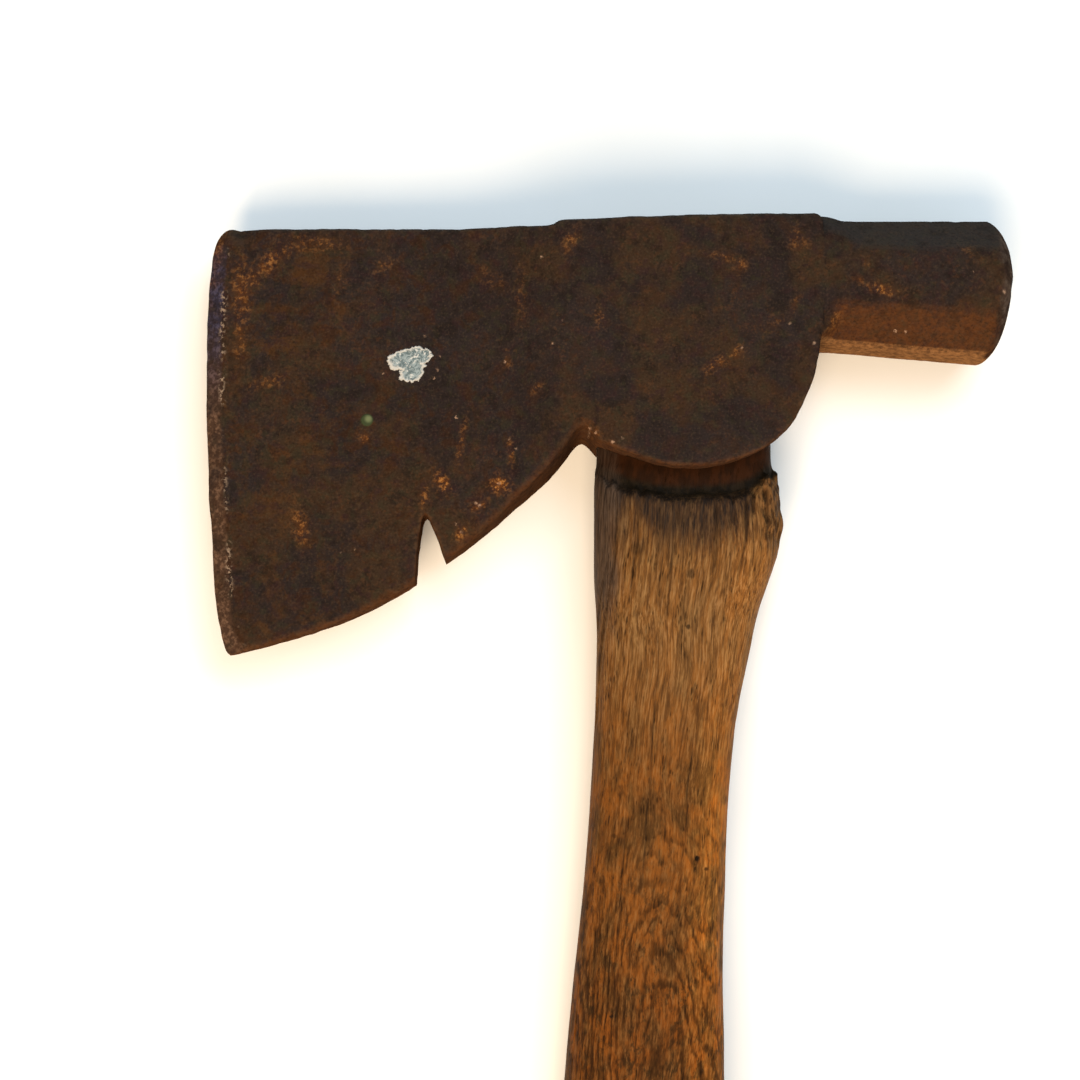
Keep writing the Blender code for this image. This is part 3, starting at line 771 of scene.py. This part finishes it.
def wedge_prism(name, outline, half_length, turn, place, cuts_per_mm):
    """A wedge outline (across, down) run out to both sides and turned, with rows enough to roughen it."""
    dense = []
    line = np.array(outline)
    for a, b in zip(line, np.roll(line, -1, axis=0)):
        steps = max(1, int(np.linalg.norm(b - a) * cuts_per_mm))
        dense += [a + (b - a) * k / steps for k in range(steps)]
    sides = len(dense)
    rows = max(2, int(half_length * 2 * cuts_per_mm))
    x, y, z = np.vstack([xyz(*np.array(dense).T, u) for u in np.linspace(-half_length, half_length, rows)]).T
    c, s = math.cos(math.radians(turn)), math.sin(math.radians(turn))
    faces = ring_faces(rows, sides) + [list(range(sides)), list(range((rows - 1) * sides, rows * sides))]
    return make_object(name, xyz(c * x + s * z, y, -s * x + c * z) + np.array(place), faces, smooth=False)


def kerf_outline(gap, above, top):
    slope = (KERF_MOUTH_HALF - KERF_ROOT_HALF) / KERF_DEPTH
    mouth, root = KERF_MOUTH_HALF + slope * above - gap, KERF_ROOT_HALF - gap
    bottom = top - KERF_DEPTH + gap
    return [(-mouth, top + above), (mouth, top + above), (root, bottom), (-root, bottom)]


def steel_cutters():
    """Slots for the two steel wedges, open above the tenon."""
    gap, above = 0.16, 5
    top_half, tip_half = STEEL_HALF + gap + STEEL_HALF / STEEL_DEPTH * above, STEEL_TIP_HALF + gap
    tip = -STEEL_DEPTH - gap
    outline = [(-top_half, above), (top_half, above), (tip_half, tip), (-tip_half, tip)]
    steps = []
    for _, _, x, turn in STEEL_WEDGES:
        place = (x, TENON_TOP_Y, MID_Z)
        steps.append(("DIFFERENCE", wedge_prism("slot", outline, STEEL_WIDTH / 2 + 0.2, turn, place, 0.1)))
    return steps


def tenon(sides):
    """The part of the handle inside the eye, with an end-grain top, the kerf and the wedges' splits."""
    angles = turns(sides)
    heights = np.concatenate([np.linspace(-27, 14, 14), np.linspace(15, TENON_TOP_Y - 0.9, 6)])
    rings = [eye_ring(angles, y, TENON_GAP) for y in heights]
    for inset, drop in ((0.05, 0.55), (0.3, 0.2), (0.7, 0)):
        rings.append(eye_ring(angles, TENON_TOP_Y, TENON_GAP + inset, drop))
    made, vertices = lofted("tenon_part", rings, (EYE_X, TENON_TOP_Y, MID_Z), 26)
    rough = 0.16 * fractal(vertices, (1.1, 30, 1.1), 120) + 0.12 * noise(vertices, (4, 30, 4), 121)
    move_vertices(made, vertices + xyz(0, (rough - 0.15) * rise(vertices[:, 1], 17.5, 1.2), 0))
    kerf = wedge_prism("kerf_cut", kerf_outline(0, 5, TENON_TOP_Y), 30, 90, (EYE_X, 0, MID_Z), 0.1)
    apply_booleans(made, [("DIFFERENCE", kerf), *steel_cutters()])
    made.data.shade_smooth()
    made.data.set_sharp_from_angle(angle=math.radians(40))
    return made


def handle_masks(handle):
    """Paints where the wood is cracked, torn or stained, the left side's grime and painted shade, the
    shoulder's painted shade line, the right side's painted light, and the end grain.
    """
    p = vertices_of(handle)
    _, y, z = p.T
    dark = np.maximum(cracks(p)[1], np.exp(-(hole_reach(p) ** 4)) * (z > MID_Z))
    front, back, _, _ = stations_at(np.clip(y, HANDLE_END_Y, HANDLE_TOP_Y))
    across = (p[:, 0] - (front + back) / 2) / ((back - front) / 2)
    bow = SHOULDER_BOW * np.clip(1 - np.abs(across) ** 2.7, 0, 1) ** (SHOULDER_BOW_POWER / 2)
    down = SHOULDER_Y - 0.4 - bow - y  # how far below the shoulder's line
    wobble = 1.3 * noise(p, (3, 9, 3), 130) + 0.6 * noise(p, (1, 4, 1), 131)
    line = np.exp(-(((down + 0.2 * wobble) / 0.85) ** 2))
    neck = rise(-down, 0.2, 0.8) * (1 - 0.8 * rise(across, 0.75, 0.1) * (y < -33))
    torn = rise(across, 0.62, 0.12) * (z > MID_Z - 4)
    centre = np.exp(-(((across - 0.05) / 0.5) ** 2))
    stain = smooth_step((9 + 5 * centre + 1.8 * wobble - down) / 9)
    stain = np.maximum(stain, 0.6 * smooth_step((14 + 3 * wobble - down) / 11))
    left = smooth_step((-across - 0.68 + 0.06 * wobble) / 0.2) * smooth_step((y + 72 + 4 * wobble) / 22)
    foot = 0.45 * rise(-y, 303, 2) * rise(-normals_of(handle)[:, 1], 0.75, 0.15)
    paint(handle, {
        "crack": np.clip(dark, 0, 1),
        # a dark line of painted shade in the crease along the shoulder
        "shoulder_shade_line": line * (1 - torn) * (1 - 0.75 * rise(-across, 0.72, 0.2)),
        "torn": torn_corner(p) * rise(across, 0.5, 0.2),
        "neck": neck,
        "rust_band": neck * rise(-down, 2.2, 1.6),
        "stain": stain * (down > -1) * (1 - 0.7 * torn),
        # grime on the left side, with painted shade and a painted grey reflection of the sky
        "grey_grime_and_shade": left * (1 - 0.4 * neck),
        # painted light on the handle's right side
        "painted_light_side": rise(across, 0.25, 0.6),
        "end_grain": np.maximum(smooth_step(y - 17), foot),
    })


def build_handle():
    handle = handle_body(300)
    join(handle, tenon(120))
    handle_masks(handle)
    return dress(handle, handle_wood())


def build_wooden_wedge():
    outline = kerf_outline(0.1, 0, TENON_TOP_Y - 0.1)
    place = (EYE_X, 0, MID_Z)
    wedge = wedge_prism("wooden_wedge_worn", outline, EYE_BOTTOM_HALF[0] - 0.7, 90, place, 2)
    apply_booleans(wedge, steel_cutters())
    p = vertices_of(wedge)
    rough = (0.2 * fractal(p, (1.6, 30, 0.8), 140) - 0.1) * smooth_step(p[:, 1] - 18)
    move_vertices(wedge, p + xyz(0, rough, 0))
    return dress(wedge, wedge_wood())


def build_steel_wedge(name, x, turn):
    """A barbed wedge, its head hammered down to a ragged rim."""
    barbs = 3
    right = []
    for k in range(barbs):
        here, below = (STEEL_HALF + (STEEL_TIP_HALF - STEEL_HALF) * step / barbs for step in (k, k + 1))
        barb = 0.25 * (k < barbs - 1)
        right += [(here, -STEEL_DEPTH / barbs * k), (below - barb, -STEEL_DEPTH / barbs * (k + 1))]
    outline = right + [(-a, b) for a, b in reversed(right)]
    wedge = wedge_prism(name, outline, STEEL_WIDTH / 2, turn, (x, TENON_TOP_Y - 0.1, MID_Z), 2.4)
    p = vertices_of(wedge)
    rough = 0.22 * fractal(p, 1.6, int(150 + x)) * rise(p[:, 1], 18.2, 0.8)
    move_vertices(wedge, p + xyz(rough * 0.5, rough, rough * 0.4))
    return dress(wedge, wedge_steel())


# ---- materials


def linear(r, g, b):
    """A colour given as 0 to 255 screen values, as the linear values that shaders take."""
    shares = (v / 255 for v in (r, g, b))
    return (*(v / 12.92 if v <= 0.04045 else ((v + 0.055) / 1.055) ** 2.4 for v in shares), 1)


class Nodes:
    """Builds one material's node tree. An input given a socket is linked, and anything else is set.

    A colour is a socket, three screen values from 0 to 255, or four linear values.
    """

    def __init__(self, name):
        self.material = bpy.data.materials.new(name)
        self.material.use_nodes = True
        self.tree = self.material.node_tree
        self.color = None  # what the surface's colour is so far
        self.place = self.add("ShaderNodeTexCoord").outputs["Object"]
        self.grain = self.place
        apart = self.add("ShaderNodeSeparateXYZ", Vector=self.place)
        self.x, self.y, self.z = (apart.outputs[axis] for axis in "XYZ")
        self.plan = self.add("ShaderNodeCombineXYZ", X=self.x, Y=self.y).outputs["Vector"]
        self.upper_side = self.between(self.z, MID_Z * MM, (MID_Z + 1.5) * MM)

    def put(self, socket, value):
        if isinstance(value, bpy.types.NodeSocket):
            self.tree.links.new(value, socket)
        else:
            socket.default_value = value

    def add(self, kind, settings=None, **inputs):
        node = self.tree.nodes.new(kind)
        for key, value in (settings or {}).items():
            setattr(node, key, value)
        for key, value in inputs.items():
            self.put(node.inputs[key.replace("_", " ")], value)
        return node

    def add_operation(self, kind, operation, values):
        node = self.add(kind, {"operation": operation})
        for socket, value in zip(node.inputs, values):
            self.put(socket, value)
        return node.outputs

    def math(self, operation, *values):
        return self.add_operation("ShaderNodeMath", operation, values)[0]

    def times(self, a, b):
        return self.math("MULTIPLY", a, b)

    def plus(self, a, b):
        return self.math("ADD", a, b)

    def vector(self, operation, *values):
        return self.add_operation("ShaderNodeVectorMath", operation, values)["Vector"]

    def length(self, operation, *values):
        return self.add_operation("ShaderNodeVectorMath", operation, values)["Value"]

    def between(self, value, low, high, out_low=0, out_high=1):
        """A smooth step from one value to another as the input goes from low to high."""
        node = self.add("ShaderNodeMapRange", {"interpolation_type": "SMOOTHSTEP"}, Value=value)
        for key, number in zip(("From Min", "From Max", "To Min", "To Max"), (low, high, out_low, out_high)):
            self.put(node.inputs[key], number)
        return node.outputs["Result"]

    def mix(self, factor, a, b, kind="MIX"):
        node = self.add("ShaderNodeMix", {"data_type": "RGBA", "blend_type": kind, "clamp_factor": True})
        self.put(node.inputs[0], factor)
        for index, value in ((6, a), (7, b)):
            on_screen = isinstance(value, tuple) and len(value) == 3
            self.put(node.inputs[index], linear(*value) if on_screen else value)
        return node.outputs[2]

    def pair(self, value, low, high, a, b):
        """From one colour to another as the value goes from low to high."""
        return self.mix(self.between(value, low, high), a, b)

    def tint(self, color, factor, *more):
        """Lays a colour over the surface, as strongly as the factors' product."""
        for other in more:
            factor = self.times(factor, other)
        self.color = self.mix(factor, self.color, color)

    def shade(self, color, value, low, high, strength):
        """Tints, up to the strength, as the value goes from low to high."""
        self.tint(color, self.between(value, low, high, 0, strength))

    def mask(self, name):
        return self.add("ShaderNodeAttribute", {"attribute_name": name}).outputs["Fac"]

    def noise(self, size, detail, roughness, distortion=0, output="Fac"):
        """Noise from about 0.3 to 0.7, with features of that size in millimetres."""
        node = self.add("ShaderNodeTexNoise", Scale=1 / (size * MM), Detail=detail, Roughness=roughness,
                        Distortion=distortion, Vector=self.place)
        return node.outputs[output]

    def stretched(self, across, along, deep):
        """The place in the grain, in units of a size in millimetres across, along and deep into it."""
        scale = tuple(1 / (size * MM) for size in (across, along, deep))
        return self.add("ShaderNodeMapping", Vector=self.grain, Scale=scale).outputs["Vector"]

    def field(self, across, along, detail, roughness, deep=None, output="Fac"):
        """Noise stretched along the grain, as deep as it is wide unless told, in millimetres."""
        node = self.add("ShaderNodeTexNoise", Scale=1, Detail=detail, Roughness=roughness,
                        Vector=self.stretched(across, along, deep or across))
        return node.outputs[output]

    def dashes(self, across, along, reach):
        """1 in the middle of scattered slim spindles, in cells of that size, down to 0 at the reach."""
        cells = self.add("ShaderNodeTexVoronoi", Scale=1, Vector=self.stretched(across, along, across))
        return self.between(cells.outputs["Distance"], reach, reach * 0.4)

    def ragged_plan(self, size, reach):
        """The place seen from above, pushed about by noise with features of that size, in millimetres."""
        push = self.noise(size, 3, 0.6, 0, "Color")
        pushed = self.vector("MULTIPLY_ADD", push, (2 * reach * MM, 2 * reach * MM, 0), self.plan)
        return self.vector("ADD", pushed, (-reach * MM, -reach * MM, 0))

    def near(self, x, y, radius, hard, place=None):
        """1 round a spot on the upper side, given in millimetres, down to 0 at the radius."""
        away = self.length("DISTANCE", place or self.plan, (x * MM, y * MM, 0))
        return self.times(self.between(away, radius * MM, hard * MM), self.upper_side)

    def silver(self):
        """Above 0 inside the ragged fleck of silvery paint, rising towards its middle."""
        bent = self.ragged_plan(1.7, SILVER_RAG)
        depth = -1
        for x, y, half_x, half_y, turn in SILVER_LOBES:
            lobe = self.add("ShaderNodeMapping", {"vector_type": "TEXTURE"}, Vector=bent,
                            Location=(x * MM, y * MM, 0), Rotation=(0, 0, math.radians(turn)),
                            Scale=(half_x * MM, half_y * MM, 1))
            inward = self.math("SUBTRACT", 1, self.length("LENGTH", lobe.outputs["Vector"]))
            depth = self.math("MAXIMUM", depth, inward)
        return self.times(depth, self.upper_side)

    def bump(self, height, distance, strength, normal=None):
        node = self.add("ShaderNodeBump", Height=height, Distance=distance * MM, Strength=strength)
        if normal is not None:
            self.put(node.inputs["Normal"], normal)
        return node.outputs["Normal"]

    def finish(self, roughness, normal, specular):
        shader = self.tree.nodes["Principled BSDF"]
        values = {"Base Color": self.color, "Roughness": roughness, "Normal": normal,
                  "Metallic": 0, "Specular IOR Level": specular}
        for name, value in values.items():
            self.put(shader.inputs[name], value)
        return self.material


def rusty_steel():
    """Old dark patina with red-brown and orange rust, bluish ground steel at the edge, pits and grit."""
    n = Nodes("rusty_forged_steel_worn")
    broad = n.noise(13, 4, 0.6)
    drift = n.noise(24, 3, 0.5)
    middle = n.noise(4.2, 5, 0.62, 0.5)
    other = n.noise(2.6, 4, 0.62, 0.3)
    small = n.noise(1.1, 3, 0.6)
    grit = n.noise(0.5, 2, 0.6)
    n.color = n.pair(broad, 0.42, 0.58, (36, 29, 27), (48, 35, 25))
    n.shade((37, 31, 30), drift, 0.47, 0.58, 0.75)
    redder = n.between(middle, 0.5, 0.64)
    n.tint((48, 29, 17), redder, n.between(n.x, -0.02, -0.06, 0.35, 0.7))
    warm = n.between(n.noise(8, 5, 0.68, 0.4), 0.5, 0.64)
    n.tint((66, 42, 21), warm, n.between(n.x, -0.05, -0.08, 0, 0.55))
    n.shade((27, 21, 18), middle, 0.48, 0.36, 0.55)
    n.shade((42, 38, 27), other, 0.52, 0.66, 0.5)
    n.shade((42, 27, 27), other, 0.47, 0.34, 0.5)
    n.tint((78, 48, 28), n.between(small, 0.54, 0.66), n.between(broad, 0.42, 0.56), 0.24)
    # brighter rust where it blooms, broken up by the fine noise
    bloom = n.mask("bloom")
    n.tint((82, 45, 19), bloom, n.between(other, 0.36, 0.6, 0.15, 0.65))
    ochre = n.pair(grit, 0.42, 0.6, (98, 57, 25), (158, 106, 54))
    n.tint(ochre, bloom, n.between(small, 0.46, 0.62), 0.75)
    # the ground bevel: bluish towards the top, with pale speckles along its border
    upper = n.between(n.y, -0.022, 0.002)
    ground = n.mix(upper, (62, 44, 33), (40, 36, 46))
    glint = n.mix(upper, (98, 73, 56), (60, 57, 74))
    ground = n.pair(n.noise(1.1, 3, 0.65), 0.46, 0.64, ground, glint)
    n.tint(ground, n.mask("bevel"), n.between(n.noise(4, 3, 0.6), 0.34, 0.6, 0.35, 0.9))
    specks = n.between(n.noise(0.8, 2, 0.6), 0.5, 0.6)
    n.tint((158, 134, 112), n.mask("bevel_line"), specks, n.between(n.noise(6, 2, 0.5), 0.42, 0.56), 0.8)
    # a painted highlight along the worn rims, painted light on the faces turned down, brightest under the
    # hammer, and painted shade on the faces turned up
    n.tint((92, 68, 48), n.mask("rim"), n.between(n.noise(1.6, 3, 0.6), 0.4, 0.62), 0.3)
    n.tint((78, 46, 24), n.mask("lit_low_side"), n.between(small, 0.32, 0.66, 0.35, 0.85))
    n.tint((130, 91, 56), n.mask("hammer_low_glow"), n.between(small, 0.32, 0.66, 0.35, 0.95))
    n.tint((54, 50, 46), n.mask("shaded_top_side"), 0.6)
    beaten = n.pair(middle, 0.42, 0.58, (48, 36, 30), (84, 70, 60))
    n.tint(beaten, n.mask("beaten"), n.between(other, 0.35, 0.6, 0.35, 0.85))
    # dirt in the pits, and grit
    n.tint((24, 18, 14), n.mask("pit"), 0.35)
    n.shade((74, 58, 44), grit, 0.54, 0.68, 0.22)
    n.shade((18, 14, 11), grit, 0.46, 0.32, 0.35)
    # chips of bare metal with a painted glint, a green dot and a fleck of silvery paint
    chips_and_glints = 0
    ragged = n.ragged_plan(0.45, 0.55)
    for x, y, radius in CHIPS_AND_GLINTS:
        chips_and_glints = n.math("MAXIMUM", chips_and_glints, n.near(x, y, radius * 1.25, radius * 0.2, ragged))
    n.tint((158, 126, 102), chips_and_glints, n.between(n.noise(0.9, 2, 0.5), 0.42, 0.6, 0.12, 0.7))
    x, y, radius = GREEN_DOT
    dot = n.near(x, y, radius, radius * 0.72)
    n.tint(n.mix(n.near(x + 0.3, y + 0.25, 1.1, 0.2), (50, 56, 36), (92, 98, 68)), dot)
    fleck = n.silver()
    inner = n.pair(n.noise(1, 4, 0.7, 1), 0.42, 0.6, (82, 94, 96), (132, 142, 142))
    silver = n.mix(n.between(fleck, 0.16, 0.36), (172, 168, 160), inner)
    silver = n.mix(n.between(n.noise(0.6, 2, 0.6), 0.56, 0.66, 0, 0.8), silver, (186, 184, 178))
    film = n.between(fleck, 0, 0.05)
    n.tint(silver, film)
    coated = n.math("MAXIMUM", film, dot)
    roughness = n.between(middle, 0.35, 0.68, 0.5, 0.78)
    roughness = n.plus(roughness, n.times(n.mask("bevel"), -0.12))
    roughness = n.plus(roughness, n.times(coated, -0.15))
    normal = n.bump(other, 0.14, 0.9)
    normal = n.bump(small, 0.1, 0.9, normal)
    normal = n.bump(grit, 0.045, 0.8, normal)
    lip = n.plus(n.between(fleck, 0, 0.12), n.between(fleck, 0.45, 0.15, 0, 0.5))
    normal = n.bump(n.math("MAXIMUM", lip, dot), 0.22, 1, normal)
    return n.finish(roughness, normal, 0)


def handle_wood():
    """Old hickory: rings and open pores along the grain, darkened by handling, rust and dirt, with painted
    light and shade on its sides and at the shoulder.
    """
    n = Nodes("aged_handle_wood_worn")
    # the grain leans and wanders a little
    sway = n.noise(26, 1, 0.5, 0, "Color")
    swayed = n.vector("MULTIPLY_ADD", sway, (0.0035, 0, 0.0035), n.place)
    lean = (0, 0, math.radians(5))
    n.grain = n.add("ShaderNodeMapping", Vector=swayed, Rotation=lean).outputs["Vector"]
    # rings about a pith behind the handle that comes nearer towards the foot
    wander = n.add("ShaderNodeSeparateColor", Color=n.field(15, 50, 2, 0.5, output="Color"))
    pith = n.between(n.y, -0.15, -0.08, 0.01, -0.006)
    pith = n.math("SUBTRACT", pith, n.between(n.y, -0.21, -0.165, 0.02, 0))
    swing = [n.times(n.math("SUBTRACT", wander.outputs[k], 0.5), 0.008) for k in (0, 1)]
    dx = n.times(n.plus(n.plus(n.x, 0.0056), swing[0]), 2)
    dz = n.plus(n.math("SUBTRACT", n.z, pith), swing[1])
    radius = n.math("SQRT", n.plus(n.times(dx, dx), n.times(dz, dz)))
    radius = n.plus(radius, n.times(n.field(2.6, 7, 3, 0.6), 0.003))
    ring = n.math("FRACT", n.math("DIVIDE", radius, RING_WIDTH * MM))
    early = n.times(n.between(ring, 0, 0.15), n.between(ring, 0.6, 0.22))
    early = n.times(early, n.between(n.noise(3, 2, 0.5), 0.36, 0.56, 0.35, 1))
    mid_grip = n.between(n.y, -0.06, -0.1)
    grip = n.between(n.y, -0.085, -0.135)
    # long straight fibres under the head, shorter and more broken ones in the grip
    broken = n.between(n.y, -0.072, -0.13, 0, 0.85)
    fibre = n.mix(broken, n.field(0.34, 5.5, 4, 0.66), n.field(0.38, 2.6, 4, 0.7))
    streak = n.mix(broken, n.field(0.75, 8, 4, 0.66), n.field(0.95, 4.4, 4, 0.7))
    band = n.field(3.2, 24, 3, 0.55)
    blotch = n.field(2.2, 4.6, 4, 0.66)
    patch = n.field(4, 8, 3, 0.6)
    long_pores = n.dashes(0.58, 5, 0.34)
    short_pores = n.dashes(0.44, 2.2, 0.38)
    pores = n.times(long_pores, n.plus(n.times(early, 0.75), 0.25))
    fine = n.times(short_pores, n.plus(n.times(early, 0.65), 0.35))
    fine = n.times(fine, n.between(n.field(3, 7, 3, 0.6), 0.42, 0.56, 0.25, 1))
    n.color = n.pair(band, 0.4, 0.6, (106, 72, 36), (118, 76, 34))
    n.tint((138, 86, 34), n.between(patch, 0.48, 0.6, 0, 0.85), mid_grip)
    n.tint((80, 58, 30), n.between(patch, 0.48, 0.36, 0, 0.7), mid_grip)
    n.tint((52, 43, 26), n.between(blotch, 0.52, 0.61, 0, 0.8), grip)
    n.shade((142, 106, 62), streak, 0.5, 0.64, 0.52)
    n.shade((72, 46, 22), streak, 0.49, 0.36, 0.6)
    n.shade((158, 118, 74), fibre, 0.5, 0.64, 0.44)
    n.shade((54, 36, 21), fibre, 0.5, 0.37, 0.54)
    n.tint((50, 33, 15), early, n.plus(n.times(grip, 0.55), 0.2))
    # handling has made the grip darker and redder than the wood under the head
    tone = n.pair(n.y, -0.062, -0.098, (0.87, 0.87, 0.9, 1), (0.66, 0.58, 0.5, 1))
    tone = n.pair(n.y, -0.105, -0.15, tone, (0.57, 0.45, 0.345, 1))
    n.color = n.mix(1, n.color, tone, "MULTIPLY")
    # painted light on the handle's right side, stronger down the grip
    painted_side_light = n.pair(n.y, -0.066, -0.11, (1.34, 1.26, 1.14, 1), (2.05, 1.9, 1.45, 1))
    n.tint(n.mix(1, n.color, painted_side_light, "MULTIPLY"), n.mask("painted_light_side"))
    n.tint((36, 21, 9), pores, 0.8)
    n.tint((38, 23, 10), fine, 0.7)
    dirty = n.pair(fibre, 0.4, 0.62, (29, 22, 18), (43, 33, 26))
    n.tint(dirty, n.mask("stain"), n.between(streak, 0.35, 0.62, 1, 0.75))
    splinters = n.pair(n.field(0.9, 2.2, 3, 0.6), 0.42, 0.58, (42, 26, 13), (104, 70, 38))
    n.tint(splinters, n.mask("torn"), 0.85)
    neck = n.pair(n.noise(1.5, 3, 0.6), 0.4, 0.6, (19, 14, 8), (30, 22, 13))
    n.tint(neck, n.mask("neck"))
    rust = n.pair(n.field(1.8, 4, 3, 0.55), 0.38, 0.62, (34, 17, 6), (46, 23, 8))
    n.tint(rust, n.mask("rust_band"), 0.9)
    # grime on the left side, with painted shade and a painted grey reflection of the sky
    grey = n.pair(fibre, 0.38, 0.62, (46, 36, 29), (76, 61, 50))
    n.tint(grey, n.mask("grey_grime_and_shade"), 0.85)
    # a dark line of painted shade in the crease along the shoulder
    n.tint((18, 13, 9), n.mask("shoulder_shade_line"), n.between(n.noise(1.6, 2, 0.6), 0.36, 0.56, 0.35, 0.8))
    n.tint((24, 15, 8), n.mask("crack"), 0.8)
    ragged = n.ragged_plan(0.7, 0.35)
    for x, y, radius, strength in WOOD_SPOTS:
        spot = n.near(x, y, radius, radius * 0.35, ragged)
        n.tint((22, 14, 7), spot, strength)
    end = n.pair(n.noise(0.8, 3, 0.7), 0.38, 0.62, (38, 26, 17), (76, 52, 32))
    n.tint(end, n.mask("end_grain"))
    roughness = n.between(fibre, 0.3, 0.7, 0.5, 0.68)
    normal = n.bump(fibre, 0.1, 0.8)
    normal = n.bump(n.times(n.plus(pores, fine), -1), 0.1, 1, normal)
    return n.finish(roughness, normal, 0.03)


def wedge_wood():
    """The wooden wedge's end grain and sides, darkened with oil and rust."""
    n = Nodes("wedge_wood_worn")
    fibre = n.field(1.6, 14, 4, 0.65, 0.4)
    n.color = n.pair(fibre, 0.38, 0.62, (54, 38, 23), (108, 78, 46))
    n.shade((42, 27, 16), n.noise(3, 3, 0.6), 0.5, 0.7, 0.6)
    normal = n.bump(fibre, 0.18, 0.9)
    return n.finish(0.72, normal, 0.2)


def wedge_steel():
    n = Nodes("wedge_steel_worn")
    middle = n.noise(1.6, 4, 0.65)
    grit = n.noise(0.4, 3, 0.65)
    n.color = n.pair(middle, 0.4, 0.62, (50, 38, 32), (88, 50, 24))
    n.shade((118, 100, 86), grit, 0.54, 0.68, 0.45)
    normal = n.bump(middle, 0.14, 0.8)
    normal = n.bump(grit, 0.06, 0.8, normal)
    return n.finish(n.between(middle, 0.35, 0.65, 0.42, 0.72), normal, 0.25)


def floor_paint():
    n = Nodes("pale_floor")
    darker, lighter = (0.785, 0.785, 0.775, 1), (0.815, 0.815, 0.81, 1)
    n.color = n.pair(n.noise(60, 3, 0.5), 0.35, 0.65, darker, lighter)
    normal = n.bump(n.noise(1.5, 2, 0.5), 0.01, 0.3)
    return n.finish(0.62, normal, 0.3)


# ---- stage, lights and camera


def build_floor():
    half = 2
    low = -0.13 * MM  # just under the lowest bumps of the worn steel
    corners = [(-half, -half, low), (half, -half, low), (half, half, low), (-half, half, low)]
    mesh = bpy.data.meshes.new("floor")
    mesh.from_pydata(corners, [], [(0, 1, 2, 3)])
    floor = bpy.data.objects.new("floor", mesh)
    bpy.context.scene.collection.objects.link(floor)
    floor.data.materials.append(floor_paint())


def area_light(name, place, target, size, power, color):
    light = bpy.data.lights.new(name, "AREA")
    light.shape = "RECTANGLE"
    light.size, light.size_y = size
    light.energy = power
    light.color = color
    obj = bpy.data.objects.new(name, light)
    obj.location = place
    obj.rotation_euler = (Vector(target) - Vector(place)).to_track_quat("-Z", "Y").to_euler()
    bpy.context.scene.collection.objects.link(obj)


def build_lights():
    world = bpy.data.worlds.new("studio")
    world.use_nodes = True
    background = world.node_tree.nodes["Background"]
    background.inputs["Color"].default_value = (0.95, 0.97, 1, 1)
    background.inputs["Strength"].default_value = 0.5
    bpy.context.scene.world = world
    aim = (-0.02, -0.04, 0)
    area_light("warm_lamp", (-0.14, -0.66, 0.84), aim, (0.5, 0.5), 11.4, (1, 0.76, 0.5))
    area_light("low_lamp", (-0.33, -0.85, 0.67), aim, (0.2, 0.2), 4.8, (1, 0.76, 0.5))
    area_light("cool_window", (0.32, 0.38, 0.92), aim, (0.8, 0.6), 8, (0.7, 0.88, 1))


def build_camera():
    data = bpy.data.cameras.new("camera")
    data.sensor_width = 36
    data.lens = 86.67
    camera = bpy.data.objects.new("camera", data)
    camera.location = (-0.03008, -0.10465, 0.54119)
    camera.rotation_euler = (math.radians(6.5), 0, 0)
    bpy.context.scene.collection.objects.link(camera)
    bpy.context.scene.camera = camera


# ---- putting it together


def stand_for(piece, node):
    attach(piece, BODY)
    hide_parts(node)


def main():
    bpy.context.scene.view_settings.view_transform = "Standard"
    build_camera()
    build_lights()
    build_floor()
    stand_for(build_head(), "head")
    stand_for(build_handle(), "handle")
    stand_for(build_wooden_wedge(), "wooden_wedge")
    for name, node, x, turn in STEEL_WEDGES:
        stand_for(build_steel_wedge(name, x, turn), node)


main()
